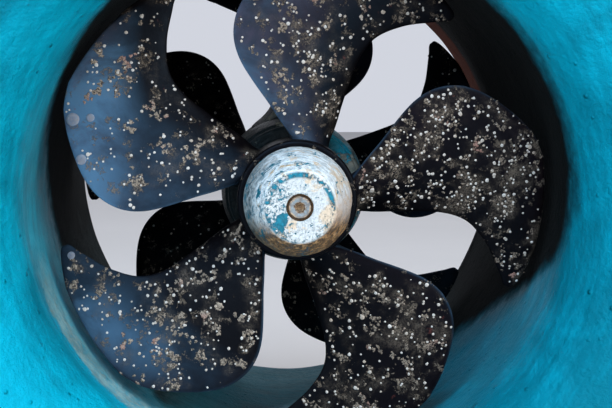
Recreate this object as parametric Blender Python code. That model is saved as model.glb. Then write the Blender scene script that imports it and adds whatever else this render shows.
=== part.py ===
"""Tunnel thruster: two five-bladed propellers on one shaft, carried by a gear leg in a flared steel tunnel.

Metres, +Z up. The tunnel lies along Y with its front mouth towards -Y. The origin is on the flat back
of the front mouth's flange, at its top, where the flange meets the ship's side.
Pieces along the shaft are modelled once, looking outboard along their own -Y, and the rear ones are the
same parts turned half round, as both propellers are alike and push the same way on one shaft.
"""

import math

import bmesh
import bpy
import numpy as np
from mathutils import Matrix

# Tunnel and its two flared mouths
TUNNEL_RADIUS = 0.125
TUNNEL_WALL = 0.006
FLARE_RADIUS = 0.048
FLANGE_WIDTH = 0.022
MOUTH_OVERHANG = 0.028

# Propellers, both on one shaft, and the room they run in
TIP_CLEARANCE = 0.005
HUB_CLEARANCE = 0.005
BLADES = 5
HUB_RADIUS = 0.028
HUB_OUTBOARD = 0.021
HUB_INBOARD = 0.020
HUB_EDGE = 0.002
BLADE_PITCH = 0.151
BLADE_ROOT_DEPTH = 0.004
BLADE_ROOT_THICKNESS = 0.0075
BLADE_TIP_THICKNESS = 0.0030
BLADE_EDGE_THICKNESS = 0.0016
REAR_PHASE = math.radians(16.9)
# Blade outline: share of the propeller's radius, then the bulging and the hollow edge in degrees
# clockwise of the blade's own line, seen from outboard
BLADE_OUTLINE = (
    (0.20, -17.0, 14.5),
    (0.30, -28.9, 12.5),
    (0.40, -34.8, 9.2),
    (0.50, -38.6, 7.4),
    (0.60, -40.1, 6.7),
    (0.70, -38.4, 8.6),
    (0.80, -33.0, 14.3),
    (0.90, -23.2, 21.3),
    (0.95, -17.8, 23.8),
    (0.98, -13.9, 21.8),
    (1.00, -9.0, 14.0),
)
BLADE_ROWS = 13
BLADE_COLUMNS = 8

# Shaft, spacers and seals
SHAFT_RADIUS = 0.009
SHAFT_END_DEPTH = 0.002
SPACER_RADIUS = 0.013
RUNNING_GAP = 0.0005
SEAL_RADIUS = 0.0145
SEAL_DEPTH = 0.0045

# Anodes and their screws
ANODE_RADIUS = 0.025
ANODE_LENGTH = 0.033
ANODE_SKIRT = 0.004
ANODE_FACE_RADIUS = 0.0156
ANODE_RECESS_RADIUS = 0.0064
ANODE_RECESS_DEPTH = 0.0068
SCREW_RADIUS = 0.003
SCREW_HEAD_RADIUS = 0.005
SCREW_HEAD_HEIGHT = 0.006
SCREW_SOCKET_FLATS = 0.005
SCREW_SOCKET_DEPTH = 0.003
SCREW_GRIP = 0.012

# Gear leg: pod, strut, saddle and neck
POD_RADIUS = 0.037
POD_LENGTH = 0.084
POD_END_RADIUS = 0.0345
POD_TAPER = 0.012
CAP_RADIUS = 0.0332
CAP_THICKNESS = 0.006
CAP_CHAMFER = 0.0025
STRUT_CHORD = 0.058
STRUT_THICKNESS = 0.020
STRUT_ROOT_DEPTH = 0.012
SADDLE_WIDTH = 0.060
SADDLE_OVERHANG = 0.012
SADDLE_THICKNESS = 0.012
NECK_RADIUS = 0.019
NECK_HEIGHT = 0.024
GASKET_THICKNESS = 0.002

# Motor bracket on top of the tunnel
BRACKET_MARGIN = 0.008
BRACKET_WIDTH = 0.096
BRACKET_CORNER = 0.014
BRACKET_BASE = 0.016
BRACKET_COLUMN_RADIUS = 0.027
BRACKET_COLUMN_HEIGHT = 0.040
BRACKET_COVE = 0.008
BRACKET_RIB_THICKNESS = 0.008
BRACKET_RIB_DROP = 0.012
MOTOR_FLANGE_RADIUS = 0.060
MOTOR_FLANGE_THICKNESS = 0.010
MOTOR_PILOT_RADIUS = 0.022
MOTOR_PILOT_DEPTH = 0.012
MOTOR_BOLT_CIRCLE = 0.048
MOTOR_BOLT_RADIUS = 0.0042
MOTOR_BOLTS = 4
BOLT_EDGE = 0.012
BOLT_RADIUS = 0.004
BOLT_HEAD_FLATS = 0.013
BOLT_HEAD_HEIGHT = 0.0065
BOLT_GRIP = 0.008
DRIVE_SHAFT_RADIUS = 0.006
DRIVE_SHAFT_STANDOUT = 0.030
GEAR_ROOM = 0.020
KEY_WIDTH = 0.004
KEY_LENGTH = 0.018
KEY_PROUD = 0.0018
KEY_END_MARGIN = 0.004

# Gap between touching pieces, and how far a cutter runs past what it cuts
SEAT = 0.0003
RUN_PAST = 0.004
ROUND = 64
MIDDLE_ROUND = 48
SMALL_ROUND = 32
HOLE_ROUND = 16
FLARE_STEPS = 8

# Worked out from the sizes above
FLARE_WALL_RADIUS = FLARE_RADIUS - TUNNEL_WALL
FLANGE_INNER = TUNNEL_RADIUS + FLARE_RADIUS
FLANGE_OUTER = FLANGE_INNER + FLANGE_WIDTH
TUNNEL_OUTER = TUNNEL_RADIUS + TUNNEL_WALL
AXIS_Z = -(FLANGE_INNER + FLANGE_WIDTH / 2)
PROPELLER_RADIUS = TUNNEL_RADIUS - TIP_CLEARANCE
CAP_BACK = POD_LENGTH / 2 + SEAT
CAP_FACE = CAP_BACK + CAP_THICKNESS
HUB_BACK = CAP_FACE + HUB_CLEARANCE
HALF_SPACING = HUB_BACK + HUB_INBOARD
HUB_FACE = HALF_SPACING + HUB_OUTBOARD
HALF_TUBE = HALF_SPACING + MOUTH_OVERHANG
CENTRE_Y = HALF_TUBE + SEAT + FLARE_WALL_RADIUS
ANODE_BASE = HUB_FACE + SEAT
ANODE_FACE = ANODE_BASE + ANODE_LENGTH
RECESS_FLOOR = ANODE_FACE - ANODE_RECESS_DEPTH
SHAFT_END = HUB_FACE - SHAFT_END_DEPTH
DRIVE_SHAFT_FOOT = SHAFT_RADIUS + GEAR_ROOM
SADDLE_LENGTH = POD_LENGTH + 2 * SADDLE_OVERHANG
BRACKET_LENGTH = SADDLE_LENGTH + 2 * BRACKET_MARGIN
BOLT_PLACES = (BOLT_EDGE - SADDLE_LENGTH / 2, SADDLE_LENGTH / 2 - BOLT_EDGE)
SADDLE_TOP_RADIUS = TUNNEL_RADIUS - 3 * SEAT - GASKET_THICKNESS
SADDLE_BOTTOM_Z = SADDLE_TOP_RADIUS - SADDLE_THICKNESS
BRACKET_FOOT_RADIUS = TUNNEL_OUTER + GASKET_THICKNESS + 2 * SEAT
BRACKET_BASE_Z = BRACKET_FOOT_RADIUS + BRACKET_BASE
BRACKET_TOP_Z = BRACKET_BASE_Z + BRACKET_COLUMN_HEIGHT + MOTOR_FLANGE_THICKNESS
NECK_TOP_Z = TUNNEL_OUTER + NECK_HEIGHT


def clear_scene():
    for obj in list(bpy.data.objects):
        bpy.data.objects.remove(obj)


def finish_material(name, colour, roughness, metallic=0.0):
    found = bpy.data.materials.new(name)
    found.use_nodes = True
    shader = found.node_tree.nodes["Principled BSDF"]
    shader.inputs["Base Color"].default_value = (*colour, 1.0)
    shader.inputs["Roughness"].default_value = roughness
    shader.inputs["Metallic"].default_value = metallic
    found.diffuse_color = (*colour, 1.0)
    return found


def object_from(bm, name):
    """Makes a linked object of a bmesh whose faces all point outwards."""
    bmesh.ops.recalc_face_normals(bm, faces=bm.faces)
    mesh = bpy.data.meshes.new(name)
    bm.to_mesh(mesh)
    bm.free()
    obj = bpy.data.objects.new(name, mesh)
    bpy.context.collection.objects.link(obj)
    return obj


def turned(name, profile, steps=ROUND):
    """A profile of (radius, distance outboard) points turned about the shaft's line.

    A profile that starts and ends on the line is open there. Any other is a closed ring.
    """
    bm = bmesh.new()
    points = [bm.verts.new((radius, -outboard, 0.0)) for radius, outboard in profile]
    ring = profile[0][0] > 0.0
    pairs = list(zip(points, points[1:] + points[:1] if ring else points[1:]))
    edges = [bm.edges.new(pair) for pair in pairs]
    bmesh.ops.spin(
        bm, geom=points + edges, cent=(0, 0, 0), axis=(0, 1, 0), angle=math.tau, steps=steps, use_merge=True
    )
    bmesh.ops.remove_doubles(bm, verts=bm.verts, dist=1e-6)
    return object_from(bm, name)


def upright_cylinder(name, radius, bottom, top, y=0.0, x=0.0, sides=SMALL_ROUND):
    bm = bmesh.new()
    place = Matrix.Translation((x, y, (bottom + top) / 2))
    bmesh.ops.create_cone(
        bm, cap_ends=True, segments=sides, radius1=radius, radius2=radius, depth=top - bottom, matrix=place
    )
    return object_from(bm, name)


def block(name, low, high):
    bm = bmesh.new()
    centre = [(a + b) / 2 for a, b in zip(low, high)]
    size = [b - a for a, b in zip(low, high)]
    place = Matrix.Translation(centre) @ Matrix.Diagonal((*size, 1.0))
    bmesh.ops.create_cube(bm, size=1.0, matrix=place)
    return object_from(bm, name)


def prism(name, outline, bottom, top):
    """An outline of (x, y) points raised from bottom to top."""
    bm = bmesh.new()
    base = bm.faces.new([bm.verts.new((x, y, bottom)) for x, y in outline])
    raised = bmesh.ops.extrude_face_region(bm, geom=[base])
    moved = [v for v in raised["geom"] if isinstance(v, bmesh.types.BMVert)]
    bmesh.ops.translate(bm, vec=(0, 0, top - bottom), verts=moved)
    return object_from(bm, name)


def combine(obj, tool, operation):
    """Applies a Boolean with a tool, which is then removed."""
    modifier = obj.modifiers.new(operation.lower(), "BOOLEAN")
    modifier.operation = operation
    modifier.solver = "EXACT"
    modifier.object = tool
    graph = bpy.context.evaluated_depsgraph_get()
    made = bpy.data.meshes.new_from_object(obj.evaluated_get(graph))
    obj.modifiers.clear()
    old = obj.data
    obj.data = made
    obj.data.name = obj.name
    bpy.data.meshes.remove(old)
    bpy.data.objects.remove(tool)


def join(obj, *tools):
    for tool in tools:
        combine(obj, tool, "UNION")


def cut(obj, *tools):
    for tool in tools:
        combine(obj, tool, "DIFFERENCE")


def keep_inside(obj, tool):
    combine(obj, tool, "INTERSECT")


def place_on_axis(obj, carrier, material, rear=False, phase=0.0):
    """Gives a piece its material and its place on the shaft's line, facing front or rear."""
    obj.data.materials.clear()
    obj.data.materials.append(material)
    obj.data.shade_smooth()
    obj.data.set_sharp_from_angle(angle=math.radians(35))
    obj.parent = carrier
    turn = Matrix.Rotation(math.pi, 4, "Z") if rear else Matrix.Identity(4)
    obj.matrix_local = Matrix.Rotation(phase, 4, "Y") @ turn
    return obj


def smooth_curve(stations, values, at):
    """A cubic through the stations, with each slope taken from its neighbours."""
    slopes = np.gradient(values, stations)
    index = np.clip(np.searchsorted(stations, at, side="right") - 1, 0, len(stations) - 2)
    width = stations[index + 1] - stations[index]
    t = (at - stations[index]) / width
    start = (2 * t**3 - 3 * t**2 + 1) * values[index] + (t**3 - 2 * t**2 + t) * width * slopes[index]
    end = (3 * t**2 - 2 * t**3) * values[index + 1] + (t**3 - t**2) * width * slopes[index + 1]
    return start + end


def blade(name, turn):
    """One blade: a helical sheet between its two edges, thickest in the middle of each row.

    Depth grows clockwise from the blade's own line by the pitch over a full turn.
    """
    outline = np.array(BLADE_OUTLINE)
    inner = HUB_RADIUS - BLADE_ROOT_DEPTH
    sweep = np.sin(np.linspace(0.0, math.pi / 2, BLADE_ROWS + 1))
    radius = (inner + (PROPELLER_RADIUS - inner) * sweep)[:, None]
    share = (radius / PROPELLER_RADIUS)[:, 0]
    bulging = np.radians(smooth_curve(outline[:, 0], outline[:, 1], share))[:, None]
    hollow = np.radians(smooth_curve(outline[:, 0], outline[:, 2], share))[:, None]
    across = (1 - np.cos(np.linspace(0.0, math.pi, BLADE_COLUMNS + 1))) / 2
    angle = bulging + (hollow - bulging) * across
    climb = BLADE_PITCH / math.tau
    outwards = (radius - inner) / (PROPELLER_RADIUS - inner)
    thickest = BLADE_ROOT_THICKNESS + (BLADE_TIP_THICKNESS - BLADE_ROOT_THICKNESS) * outwards
    belly = 4 * across * (1 - across)
    half = (BLADE_EDGE_THICKNESS + (thickest - BLADE_EDGE_THICKNESS) * belly) / 2
    around = angle + turn
    sides = []
    for side in (-1, 1):
        shift = side * half / np.hypot(radius, climb)
        x = radius * np.cos(around) + shift * climb * np.sin(around)
        y = -HALF_SPACING + climb * angle + shift * radius
        z = -radius * np.sin(around) + shift * climb * np.cos(around)
        sides.append(np.stack([x, y, z], axis=-1))
    front, back = sides
    section = np.concatenate([front, back[:, ::-1]], axis=1)
    rows, around_count = section.shape[:2]
    points = section.reshape(-1, 3)
    quads = []
    for row in range(rows - 1):
        for k in range(around_count):
            nxt = (k + 1) % around_count
            here, above = row * around_count, (row + 1) * around_count
            quads.append((here + k, here + nxt, above + nxt, above + k))
    for row in (0, rows - 1):
        here = row * around_count
        for k in range(BLADE_COLUMNS):
            opposite = around_count - 1 - k
            quads.append((here + k, here + k + 1, here + opposite - 1, here + opposite))
    mesh = bpy.data.meshes.new(name)
    mesh.from_pydata(points.tolist(), [], quads)
    bm = bmesh.new()
    bm.from_mesh(mesh)
    bpy.data.meshes.remove(mesh)
    return object_from(bm, name)


def propeller(name):
    """Hub and blades, one moulding with a bore for the shaft."""
    bore = SHAFT_RADIUS + SEAT
    hub = turned(
        name,
        [
            (bore, HUB_BACK),
            (HUB_RADIUS - HUB_EDGE, HUB_BACK),
            (HUB_RADIUS, HUB_BACK + HUB_EDGE),
            (HUB_RADIUS, HUB_FACE - HUB_EDGE),
            (HUB_RADIUS - HUB_EDGE, HUB_FACE),
            (bore, HUB_FACE),
        ],
        MIDDLE_ROUND,
    )
    for number in range(BLADES):
        join(hub, blade(f"{name}_blade_{number}", number * math.tau / BLADES))
    return hub


def anode(name):
    """Zinc nose: a short skirt, a rounded cone, a flat face and a recess for the screw's head."""
    bow = 5
    cone = []
    for step in range(bow + 1):
        t = step / bow
        radius = ANODE_FACE_RADIUS + (ANODE_RADIUS - ANODE_FACE_RADIUS) * math.cos(t * math.pi / 2) ** 0.8
        cone.append((radius, ANODE_BASE + ANODE_SKIRT + (ANODE_LENGTH - ANODE_SKIRT) * t))
    return turned(
        name,
        [(SCREW_RADIUS + SEAT, ANODE_BASE), (ANODE_RADIUS, ANODE_BASE)]
        + cone
        + [
            (ANODE_RECESS_RADIUS, ANODE_FACE),
            (ANODE_RECESS_RADIUS, RECESS_FLOOR),
            (SCREW_RADIUS + SEAT, RECESS_FLOOR),
        ],
        MIDDLE_ROUND,
    )


def anode_screw(name):
    """Socket-head screw through the anode into the shaft's end."""
    under_head = RECESS_FLOOR + SEAT
    top = under_head + SCREW_HEAD_HEIGHT
    tip = SHAFT_END - SCREW_GRIP
    screw = turned(
        name,
        [(0.0, tip), (SCREW_RADIUS, tip), (SCREW_RADIUS, under_head), (SCREW_HEAD_RADIUS, under_head)]
        + [(SCREW_HEAD_RADIUS, top), (0.0, top)],
        SMALL_ROUND,
    )
    corner = SCREW_SOCKET_FLATS / 2 / math.cos(math.pi / 6)
    floor = top - SCREW_SOCKET_DEPTH
    high = top + RUN_PAST
    cut(screw, turned("socket", [(0.0, floor), (corner, floor), (corner, high), (0.0, high)], 6))
    return screw


def propeller_shaft():
    """Straight shaft from hub to hub, with a screw hole in each end."""
    hole = SCREW_RADIUS + SEAT
    floor = SHAFT_END - SCREW_GRIP - SEAT
    return turned(
        "propeller_shaft",
        [(0.0, -floor), (hole, -floor), (hole, -SHAFT_END), (SHAFT_RADIUS, -SHAFT_END)]
        + [(SHAFT_RADIUS, SHAFT_END), (hole, SHAFT_END), (hole, floor), (0.0, floor)],
        SMALL_ROUND,
    )


def shaft_spacer(name):
    bore = SHAFT_RADIUS + SEAT
    low, high = CAP_FACE + RUNNING_GAP, HUB_BACK - SEAT
    profile = [(bore, low), (SPACER_RADIUS, low), (SPACER_RADIUS, high), (bore, high)]
    return turned(name, profile, SMALL_ROUND)


def bearing_cap(name):
    """Ring that closes the pod's end and holds the seal."""
    bore = SEAL_RADIUS + SEAT
    return turned(
        name,
        [
            (SHAFT_RADIUS + RUNNING_GAP, CAP_BACK),
            (CAP_RADIUS, CAP_BACK),
            (CAP_RADIUS, CAP_FACE - CAP_CHAMFER),
            (CAP_RADIUS - CAP_CHAMFER, CAP_FACE),
            (bore, CAP_FACE),
            (bore, CAP_FACE - SEAL_DEPTH),
            (SHAFT_RADIUS + RUNNING_GAP, CAP_FACE - SEAL_DEPTH),
        ],
        MIDDLE_ROUND,
    )


def shaft_seal(name):
    lip = SHAFT_RADIUS + SEAT
    low = CAP_FACE - SEAL_DEPTH + SEAT
    profile = [(lip, low), (SEAL_RADIUS, low), (SEAL_RADIUS, CAP_FACE), (lip, CAP_FACE)]
    return turned(name, profile, SMALL_ROUND)


def saddle_holes(obj, inner, outer):
    """Cuts the holes for the leg's neck and for the clamping bolts through a wall at the tunnel's top."""
    low, high = inner - RUN_PAST, outer + RUN_PAST
    cut(obj, upright_cylinder("neck_hole", NECK_RADIUS + SEAT, low, high))
    for y in BOLT_PLACES:
        cut(obj, upright_cylinder("bolt_hole", BOLT_RADIUS + SEAT, low, high, y, sides=HOLE_ROUND))


def tunnel_tube():
    """Plain tube with a hole for the leg's neck and one for each clamping bolt."""
    tube = turned(
        "tunnel_tube",
        [(TUNNEL_RADIUS, -HALF_TUBE), (TUNNEL_OUTER, -HALF_TUBE)]
        + [(TUNNEL_OUTER, HALF_TUBE), (TUNNEL_RADIUS, HALF_TUBE)],
    )
    saddle_holes(tube, TUNNEL_RADIUS, TUNNEL_OUTER)
    return tube


def bell_mouth(name):
    """Flare that turns a quarter circle out from the tube to a flat flange."""
    start = HALF_TUBE + SEAT
    turns = [math.pi / 2 * step / FLARE_STEPS for step in range(FLARE_STEPS + 1)]
    bend = [(math.cos(a), math.sin(a)) for a in turns]
    water = [(FLANGE_INNER - FLARE_RADIUS * c, start + FLARE_RADIUS * s) for c, s in bend]
    hull = [(FLANGE_INNER - FLARE_WALL_RADIUS * c, start + FLARE_WALL_RADIUS * s) for c, s in bend]
    rim = [(FLANGE_OUTER, start + FLARE_RADIUS), (FLANGE_OUTER, start + FLARE_WALL_RADIUS)]
    return turned(name, water + rim + hull[::-1])


def saddle_sheet(name, inner, outer, width, length):
    """Part of a tube wall, as wide and long as a saddle that fits on it, around the top."""
    sheet = turned(
        name,
        [(inner, -length / 2), (outer, -length / 2), (outer, length / 2), (inner, length / 2)],
    )
    keep_inside(sheet, block("trim", (-width / 2, -length, 0.0), (width / 2, length, outer + RUN_PAST)))
    return sheet


def saddle_gasket(name, inner, width, length):
    """Curved gasket with holes for the neck and the bolts."""
    outer = inner + GASKET_THICKNESS
    gasket = saddle_sheet(name, inner, outer, width, length)
    saddle_holes(gasket, inner, outer)
    return gasket


def strut_outline():
    """Streamlined section, pointed both ways because the water runs both ways."""
    count = 10
    half_chord, half_thick = STRUT_CHORD / 2, STRUT_THICKNESS / 2
    right = []
    for step in range(count + 1):
        a = math.pi * step / count
        right.append((half_thick * math.sin(a) ** 1.1, -half_chord * math.cos(a)))
    left = [(-x, y) for x, y in right[1:-1]][::-1]
    return right + left


def round_form(radius):
    """Solid cylinder along the tunnel, to shape what fits to the tunnel's wall."""
    profile = [(0.0, -HALF_TUBE), (radius, -HALF_TUBE), (radius, HALF_TUBE), (0.0, HALF_TUBE)]
    return turned("round_form", profile)


def gear_leg():
    """One casting: pod round the shaft, strut, saddle under the tunnel's top and neck through it."""
    half_pod = POD_LENGTH / 2
    bore = SHAFT_RADIUS + SEAT
    ends = [(POD_END_RADIUS, -half_pod), (POD_RADIUS, POD_TAPER - half_pod)]
    leg = turned(
        "gear_leg",
        [(bore, -half_pod)] + ends + [(r, -y) for r, y in ends[::-1]] + [(bore, half_pod)],
    )
    strut = prism("strut", strut_outline(), POD_RADIUS - STRUT_ROOT_DEPTH, SADDLE_BOTTOM_Z + RUN_PAST)
    half_w, half_l = SADDLE_WIDTH / 2, SADDLE_LENGTH / 2
    saddle = block("saddle", (-half_w, -half_l, SADDLE_BOTTOM_Z), (half_w, half_l, TUNNEL_OUTER))
    keep_inside(saddle, round_form(SADDLE_TOP_RADIUS))
    neck = upright_cylinder("neck", NECK_RADIUS, SADDLE_BOTTOM_Z + RUN_PAST, NECK_TOP_Z)
    join(leg, strut, saddle, neck)
    low, high = DRIVE_SHAFT_FOOT - SEAT, NECK_TOP_Z + RUN_PAST
    cut(leg, upright_cylinder("drive_bore", DRIVE_SHAFT_RADIUS + SEAT, low, high))
    for y in BOLT_PLACES:
        low = SADDLE_TOP_RADIUS - BOLT_GRIP - SEAT
        cut(leg, upright_cylinder("bolt_hole", BOLT_RADIUS + SEAT, low, TUNNEL_OUTER, y, sides=HOLE_ROUND))
    return leg


def drive_shaft():
    """Upright shaft from the pod's gears to the motor, with a keyway at its top."""
    top = BRACKET_TOP_Z + DRIVE_SHAFT_STANDOUT
    shaft = upright_cylinder("drive_shaft", DRIVE_SHAFT_RADIUS, DRIVE_SHAFT_FOOT, top)
    half = KEY_WIDTH / 2 + SEAT
    high = top - KEY_END_MARGIN + SEAT
    low = high - KEY_LENGTH - 2 * SEAT
    front = -DRIVE_SHAFT_RADIUS - RUN_PAST
    cut(shaft, block("keyway", (-half, front, low), (half, key_floor() + SEAT, high)))
    return shaft


def key_floor():
    return KEY_WIDTH - DRIVE_SHAFT_RADIUS - KEY_PROUD


def drive_key():
    high = BRACKET_TOP_Z + DRIVE_SHAFT_STANDOUT - KEY_END_MARGIN
    half = KEY_WIDTH / 2
    front = -DRIVE_SHAFT_RADIUS - KEY_PROUD
    return block("drive_key", (-half, front, high - KEY_LENGTH), (half, front + KEY_WIDTH, high))


def rounded_rectangle(width, length, corner, steps=5):
    outline = []
    for quarter in range(4):
        sign_x, sign_y = ((1, 1), (-1, 1), (-1, -1), (1, -1))[quarter]
        centre_x, centre_y = sign_x * (width / 2 - corner), sign_y * (length / 2 - corner)
        for step in range(steps + 1):
            a = math.pi / 2 * (quarter + step / steps)
            outline.append((centre_x + corner * math.cos(a), centre_y + corner * math.sin(a)))
    return outline


def upright_turned(name, profile, steps=ROUND):
    """A profile of (radius, height) points turned about the drive shaft's line."""
    piece = turned(name, [(radius, -height) for radius, height in profile], steps)
    piece.data.transform(Matrix.Rotation(math.pi / 2, 4, "X"))
    return piece


def bracket_rib(name, turn):
    """Upright web from the column down to the foot's edge, with a sloping back."""
    reach = (BRACKET_WIDTH - BRACKET_CORNER) / 2
    inner = BRACKET_COLUMN_RADIUS - RUN_PAST
    low = BRACKET_BASE_Z - RUN_PAST
    toe = low + BRACKET_COVE
    high = BRACKET_BASE_Z + BRACKET_COLUMN_HEIGHT - BRACKET_RIB_DROP + RUN_PAST
    outline = [(inner, low), (reach, low), (reach, toe), (inner + BRACKET_COVE, high), (inner, high)]
    half = BRACKET_RIB_THICKNESS / 2
    rib = prism(name, outline, -half, half)
    rib.data.transform(Matrix.Rotation(turn, 4, "Z") @ Matrix.Rotation(math.pi / 2, 4, "X"))
    return rib


def motor_bracket():
    """Casting that clamps the tunnel's top and carries the motor: foot, column, ribs and round flange."""
    under_flange = BRACKET_TOP_Z - MOTOR_FLANGE_THICKNESS
    foot = rounded_rectangle(BRACKET_WIDTH, BRACKET_LENGTH, BRACKET_CORNER)
    # The foot starts inside the tube, whose form is cut away below
    bracket = prism("motor_bracket", foot, TUNNEL_OUTER / 2, BRACKET_BASE_Z)
    cove = []
    for step in range(5):
        a = math.pi / 2 * step / 4
        radius = BRACKET_COLUMN_RADIUS + BRACKET_COVE * (1 - math.cos(a))
        cove.append((radius, under_flange - BRACKET_COVE * (1 - math.sin(a))))
    column = upright_turned(
        "column",
        [(0.0, BRACKET_BASE_Z - RUN_PAST), (BRACKET_COLUMN_RADIUS, BRACKET_BASE_Z - RUN_PAST)]
        + cove
        + [(MOTOR_FLANGE_RADIUS, under_flange), (MOTOR_FLANGE_RADIUS, BRACKET_TOP_Z), (0.0, BRACKET_TOP_Z)],
    )
    join(bracket, column, *(bracket_rib(f"rib_{n}", (n + 0.5) * math.pi / 2) for n in range(4)))
    pilot_low = BRACKET_TOP_Z - MOTOR_PILOT_DEPTH
    cut(
        bracket,
        round_form(BRACKET_FOOT_RADIUS),
        upright_cylinder("neck_bore", NECK_RADIUS + SEAT, TUNNEL_RADIUS, BRACKET_TOP_Z + RUN_PAST),
        upright_cylinder("pilot", MOTOR_PILOT_RADIUS, pilot_low, BRACKET_TOP_Z + RUN_PAST),
    )
    for number in range(MOTOR_BOLTS):
        a = math.tau * (number + 0.5) / MOTOR_BOLTS
        x, y = MOTOR_BOLT_CIRCLE * math.cos(a), MOTOR_BOLT_CIRCLE * math.sin(a)
        low, high = under_flange - RUN_PAST, BRACKET_TOP_Z + RUN_PAST
        cut(bracket, upright_cylinder("motor_hole", MOTOR_BOLT_RADIUS, low, high, y, x, sides=HOLE_ROUND))
    for y in BOLT_PLACES:
        low, high = TUNNEL_RADIUS, BRACKET_BASE_Z + RUN_PAST
        cut(bracket, upright_cylinder("bolt_hole", BOLT_RADIUS + SEAT, low, high, y, sides=HOLE_ROUND))
    return bracket


def clamping_bolt(name, y):
    """Hex bolt from the bracket's foot, through the tunnel's wall, into the leg's saddle."""
    under_head = BRACKET_BASE_Z + SEAT
    low = SADDLE_TOP_RADIUS - BOLT_GRIP
    bolt = upright_cylinder(name, BOLT_RADIUS, low, under_head + RUN_PAST, y, sides=HOLE_ROUND)
    corner = BOLT_HEAD_FLATS / 2 / math.cos(math.pi / 6)
    head = upright_cylinder("head", corner, under_head, under_head + BOLT_HEAD_HEIGHT, y, sides=6)
    join(bolt, head)
    return bolt


def main():
    clear_scene()
    hull_paint = finish_material("tunnel_paint", (0.0, 0.36, 0.43), 0.5)
    leg_paint = finish_material("leg_paint", (0.01, 0.28, 0.32), 0.45)
    blade_plastic = finish_material("blade_plastic", (0.022, 0.024, 0.032), 0.35)
    zinc = finish_material("anode_zinc", (0.72, 0.74, 0.74), 0.5, 0.4)
    steel = finish_material("stainless_steel", (0.55, 0.53, 0.5), 0.3, 1.0)
    rubber = finish_material("seal_rubber", (0.02, 0.02, 0.02), 0.8)
    casting = finish_material("bracket_casting", (0.33, 0.34, 0.35), 0.5, 0.8)

    carrier = bpy.data.objects.new("tunnel_centre", None)
    carrier.location = (0.0, CENTRE_Y, AXIS_Z)
    bpy.context.collection.objects.link(carrier)
    rotor = bpy.data.objects.new("rotor_centre", None)
    rotor.parent = carrier
    bpy.context.collection.objects.link(rotor)
    bpy.context.view_layer.update()

    for end, rear in (("front", False), ("rear", True)):
        phase = REAR_PHASE if rear else 0.0
        place_on_axis(bell_mouth(f"{end}_bell_mouth"), carrier, hull_paint, rear)
        place_on_axis(bearing_cap(f"{end}_bearing_cap"), carrier, leg_paint, rear)
        place_on_axis(shaft_seal(f"{end}_shaft_seal"), carrier, rubber, rear)
        place_on_axis(shaft_spacer(f"{end}_shaft_spacer"), rotor, steel, rear, phase)
        place_on_axis(propeller(f"{end}_propeller"), rotor, blade_plastic, rear, phase)
        place_on_axis(anode(f"{end}_anode"), rotor, zinc, rear, phase)
        place_on_axis(anode_screw(f"{end}_anode_screw"), rotor, steel, rear, phase)
    place_on_axis(propeller_shaft(), rotor, steel)
    place_on_axis(tunnel_tube(), carrier, hull_paint)
    place_on_axis(gear_leg(), carrier, leg_paint)
    under_wall, over_wall = SADDLE_TOP_RADIUS + SEAT, TUNNEL_OUTER + SEAT
    leg_gasket = saddle_gasket("leg_gasket", under_wall, SADDLE_WIDTH, SADDLE_LENGTH)
    place_on_axis(leg_gasket, carrier, rubber)
    bracket_gasket = saddle_gasket("bracket_gasket", over_wall, BRACKET_WIDTH, BRACKET_LENGTH)
    place_on_axis(bracket_gasket, carrier, rubber)
    place_on_axis(motor_bracket(), carrier, casting)
    place_on_axis(drive_shaft(), carrier, steel)
    place_on_axis(drive_key(), carrier, steel)
    for number, y in enumerate(BOLT_PLACES, 1):
        place_on_axis(clamping_bolt(f"clamping_bolt_{number}", y), carrier, steel)


main()
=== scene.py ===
"""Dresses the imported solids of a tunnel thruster: worn turquoise tunnel, fouled propellers, zinc noses.

Laid out as a Blender add-on and run as a script. Lengths are in metres. Pieces are surfaces worked out
with numpy round the middle of the shaft's line and moved to their place in the mesh, so that every object
stays at the origin. "Outboard" is the distance along the shaft from the tunnel's middle to either mouth.
"""

import math

import bmesh
import bpy
import numpy as np
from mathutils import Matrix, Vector


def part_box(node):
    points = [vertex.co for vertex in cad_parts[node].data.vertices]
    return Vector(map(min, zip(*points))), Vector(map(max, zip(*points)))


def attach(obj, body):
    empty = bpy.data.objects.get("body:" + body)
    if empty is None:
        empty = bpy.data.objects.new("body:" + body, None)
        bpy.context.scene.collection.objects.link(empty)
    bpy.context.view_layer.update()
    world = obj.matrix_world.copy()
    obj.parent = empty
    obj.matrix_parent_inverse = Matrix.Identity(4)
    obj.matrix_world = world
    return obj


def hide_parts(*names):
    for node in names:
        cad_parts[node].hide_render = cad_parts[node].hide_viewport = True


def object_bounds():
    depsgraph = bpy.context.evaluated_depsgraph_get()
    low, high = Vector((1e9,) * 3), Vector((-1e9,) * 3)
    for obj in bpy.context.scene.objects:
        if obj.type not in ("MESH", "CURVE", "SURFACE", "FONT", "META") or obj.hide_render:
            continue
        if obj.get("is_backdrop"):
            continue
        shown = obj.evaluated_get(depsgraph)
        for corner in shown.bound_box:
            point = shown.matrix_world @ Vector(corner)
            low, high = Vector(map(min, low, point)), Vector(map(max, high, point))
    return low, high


bl_info = {
    "name": "Tunnel thruster",
    "version": (1, 0, 0),
    "blender": (4, 5, 0),
    "location": "3D View > Sidebar > Thruster",
    "description": "Dresses the thruster's solids with paint, marine growth, zinc and castings",
    "category": "Object",
}

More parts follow.
